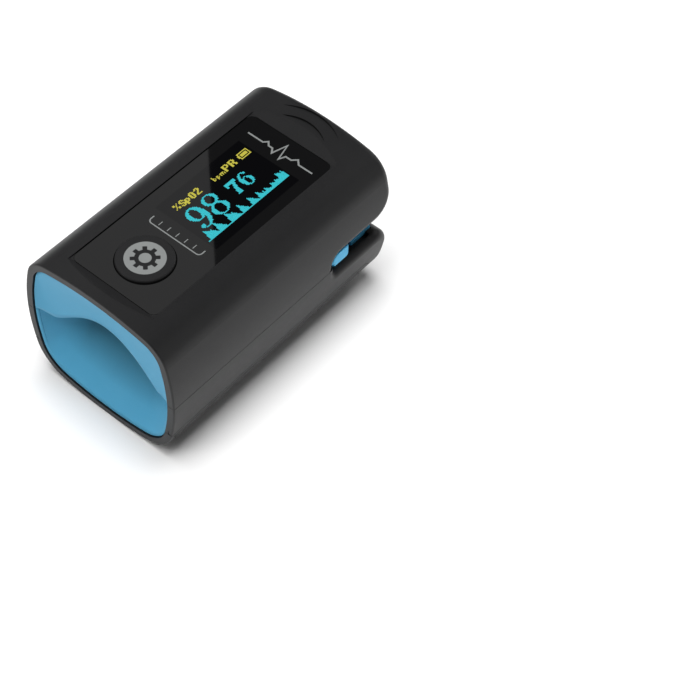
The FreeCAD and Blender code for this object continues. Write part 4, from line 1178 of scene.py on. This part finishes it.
def makeJawSprings():
    length = jawSpring["outer"] - jawSpring["inner"]
    recipe = coilRecipe("jawCoil", {"Turns": jawSpring["turns"],
                                    "Start radius": jawSpring["radius"] * mm,
                                    "End radius": jawSpring["radius"] * mm,
                                    "Length": length * mm, "Wire": jawSpring["wire"] * mm,
                                    "X": 0.0, "Y": hinge.y * mm, "Z": hinge.z * mm},
                        (0.0, math.pi / 2, 0.0), springSteel)
    for side, name in ((-1, "left"), (1, "right")):
        start = min(side * jawSpring["inner"], side * jawSpring["outer"])
        coil = recipe.run(emptyPiece("coil"), {"X": start * mm})
        legs = []
        for x, sign in ((side * jawSpring["inner"], -1), (side * jawSpring["outer"], 1)):
            z = hinge.z + sign * jawSpring["radius"]
            legs.append(straightWire("leg", (x, hinge.y - jawSpring["lap"], z),
                                     (x, hinge.y + jawSpring["leg"], z), jawSpring["wire"],
                                     springSteel))
        spring = joined("jawSpring_" + name, [coil, *legs])
        spring.data.shade_smooth()
        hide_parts("torsion_spring_" + name)
        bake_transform(spring)


makeJawSprings()

# slack is the room that each coil leaves at its two ends, in wires
cellSpring = {"wire": 0.24, "turns": 3.0, "frontRadii": (3.0, 1.9), "rearRadii": (1.9, 1.3),
              "slack": 2.2}


def cellCoil(name, radii, turn, x, y, z, length):
    recipe = coilRecipe(name, {"Turns": cellSpring["turns"], "Start radius": radii[0] * mm,
                               "End radius": radii[1] * mm, "Length": length,
                               "Wire": cellSpring["wire"] * mm, "X": x, "Y": y, "Z": z},
                        (turn, 0.0, 0.0), plated)
    return recipe.run(emptyPiece(name))


def makeCellSprings():
    front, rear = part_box("front_contacts"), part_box("rear_contact")
    left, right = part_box("battery_left"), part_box("battery_right")
    wire = cellSpring["wire"] * mm
    slack = cellSpring["slack"] * wire
    z = (left[0].z + left[1].z) / 2
    coils = [cellCoil("frontCoil", cellSpring["frontRadii"], -math.pi / 2,
                      (left[0].x + left[1].x) / 2, front[1].y + wire, z,
                      left[0].y - front[1].y - slack),
             cellCoil("rearCoil", cellSpring["rearRadii"], math.pi / 2,
                      (right[0].x + right[1].x) / 2, rear[0].y - wire, z,
                      rear[0].y - right[1].y - slack)]
    springs = joined("cellSprings", coils)
    springs.data.shade_smooth()
    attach(springs, "lower_half")
    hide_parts("contact_springs")


makeCellSprings()
print("springs made")


# one flat cable from the lower board, up by the hinge and on to the upper board
band = {"width": 5.0, "thick": 0.12, "bend": 0.7, "bendSteps": 8, "inset": 0.1, "lift": 0.08,
        "crossZ": 20.07, "drop": 0.12, "reach": 2.9, "run": 0.4, "across": 10,
        "turnFrom": 15.0, "turnTo": 18.2}


def makeSensorCable():
    lower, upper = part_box("lower_flex"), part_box("upper_flex")
    y0, z0 = lower[0].y / mm, lower[0].z / mm + band["lift"]
    yBend, yRear = (box[1].y / mm - band["inset"] for box in (lower, upper))
    zCross, zTop = band["crossZ"], upper[1].z / mm - band["drop"]
    path = [(0, y0, z0), (0, yBend, z0), (0, yBend, zCross), (0, yRear, zCross),
            (0, yRear, zTop), (0, upper[1].y / mm - band["reach"], zTop)]
    points = easedPath(path, band["bend"], band["bendSteps"])
    fine = [points[0]]
    for point in points[1:]:  # long runs are divided into short steps
        count = max(1, math.ceil((point - fine[-1]).length / band["run"]))
        first = fine[-1]
        fine += [first.lerp(point, (i + 1) / count) for i in range(count)]
    verts, faces = [], []
    half, across = band["width"] / 2, band["across"]
    for point in fine:
        verts += [(half * (2 * k / across - 1), point.y, point.z) for k in range(across + 1)]
    for row in range(len(fine) - 1):
        for k in range(across):
            a = row * (across + 1) + k
            faces.append((a, a + 1, a + across + 2, a + across + 1))
    cable = facingOut(walled(meshPiece("sensorCable", verts, faces, amber), band["thick"], 0))
    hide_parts("lower_flex", "upper_flex")
    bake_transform(cable)


makeSensorCable()


# chips are the middle, width and length of each on the board
pins = {"pitch": 0.5, "width": 0.24, "long": 0.55, "thick": 0.12, "margin": 0.8,
        "chips": ((0.0, -9.0, 7.0, 7.0), (6.0, 2.0, 5.0, 4.0), (5.5, 9.5, 3.0, 3.0))}


def makePins():
    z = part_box("main_board")[0].z / mm - pins["thick"] / 2
    points = []
    for cx, cy, wide, tall in pins["chips"]:
        span = tall - pins["margin"]
        for i in range(int(span / pins["pitch"]) + 1):
            y = cy - span / 2 + i * pins["pitch"]
            points += [(cx + side * (wide / 2 + pins["long"] / 2), y, z) for side in (1, -1)]
    piece = boxesOn("chipPins", points, (pins["long"], pins["width"], pins["thick"]), plated)
    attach(piece, "upper_half")


makePins()
print("cable and pins made")


# the floor, the light all round, and the pale backdrop that only the camera sees
studio = {"floor": 3.0, "floorTint": (0.86, 0.86, 0.86), "cloud": 40.0, "world": 0.05,
          "backdrop": 1.0}


def makeStage():
    shape = bmesh.new()
    bmesh.ops.create_grid(shape, x_segments=2, y_segments=2, size=studio["floor"])
    paint = Finish("floorPaint")
    cloud = paint.noise(studio["cloud"], detail=2.0)
    mesh = meshFrom(shape, "floor", paint.plastic({
        "Base Color": paint.mix(cloud, studio["floorTint"], scaled(studio["floorTint"], 0.99)),
        "Roughness": 0.9, "Specular IOR Level": 0.1}))
    floor = linked("floor", mesh)
    world = bpy.data.worlds.new("studio")
    world.use_nodes = True
    scene.world = world
    tree = world.node_tree
    tree.nodes.clear()
    choice = tree.nodes.new("ShaderNodeMixShader")
    out = tree.nodes.new("ShaderNodeOutputWorld")
    seen = tree.nodes.new("ShaderNodeLightPath").outputs["Is Camera Ray"]
    tree.links.new(seen, choice.inputs[0])
    for place, strength in ((1, studio["world"]), (2, studio["backdrop"])):
        pale = tree.nodes.new("ShaderNodeBackground")
        pale.inputs["Color"].default_value = (1, 1, 1, 1)
        pale.inputs["Strength"].default_value = strength
        tree.links.new(pale.outputs[0], choice.inputs[place])
    tree.links.new(choice.outputs[0], out.inputs["Surface"])


# softboxes: where each hangs, what it faces, its size and its power, in metres and watts
softboxes = {
    "glossCard": {"at": (-0.28, 0.04, 0.278), "turn": 135, "size": (0.35, 0.35), "power": 0.20,
                  "gloss": True},
    "rightBox": {"at": (0.60, 0.28, 0.34), "aim": (0.0, 0.0, 0.015), "size": (0.60, 0.35),
                 "power": 0.35, "gloss": True},
    "frontCard": {"at": (-0.40, -0.70, 0.42), "aim": (0.0, 0.0, 0.01), "size": (0.5, 0.4),
                  "power": 0.9, "gloss": True},
    "loftBox": {"at": (-0.05, -0.42, 0.80), "aim": (0.0, 0.0, 0.0), "size": (0.3, 0.3),
                "power": 2.0, "gloss": False},
    "backBox": {"at": (0.1, 0.60, 0.40), "aim": (0.0, 0.0, 0.015), "size": (0.4, 0.3),
                "power": 0.5, "gloss": True},
}
overhead = {"strength": 3.3, "spread": 42, "tilt": (-4, -3)}


def addLight(name, kind, power, gloss):
    lamp = bpy.data.lights.new(name, kind)
    lamp.energy = power
    light = linked(name, lamp)
    light.visible_glossy = gloss
    return light


def makeLights():
    sky = addLight("overhead", "SUN", overhead["strength"], False)
    sky.data.angle = math.radians(overhead["spread"])
    sky.rotation_euler = (*(math.radians(turn) for turn in overhead["tilt"]), 0.0)
    for name, box in softboxes.items():
        light = addLight(name, "AREA", box["power"], box["gloss"])
        light.data.shape = "RECTANGLE"
        light.data.size, light.data.size_y = box["size"]
        light.location = box["at"]
        if "turn" in box:  # hangs level, turned about the vertical
            light.rotation_euler = (0.0, 0.0, math.radians(box["turn"]))
        else:
            aim = Vector(box["aim"]) - Vector(box["at"])
            light.rotation_euler = aim.to_track_quat("-Z", "Y").to_euler()


# where the camera stands, in millimetres, and which ways its right, down and ahead point
eye = {"at": (154.21, -162.72, 278.53), "right": (0.7673, 0.64001, 0.04041),
       "down": (0.5251, -0.59085, -0.61251), "ahead": (-0.36814, 0.4912, -0.78943),
       "lens": 96.5, "sensor": 36.0, "near": 0.01}


def makeCamera():
    data = bpy.data.cameras.new("camera")
    data.lens = eye["lens"]
    data.sensor_width = eye["sensor"]
    data.clip_start = eye["near"]
    camera = linked("camera", data)
    axes = Matrix((eye["right"], [-c for c in eye["down"]], [-c for c in eye["ahead"]]))
    camera.matrix_world = Matrix.Translation(Vector(eye["at"]) * mm) @ axes.transposed().to_4x4()
    scene.camera = camera


makeStage()
makeLights()
makeCamera()
scene.view_settings.view_transform = "Standard"
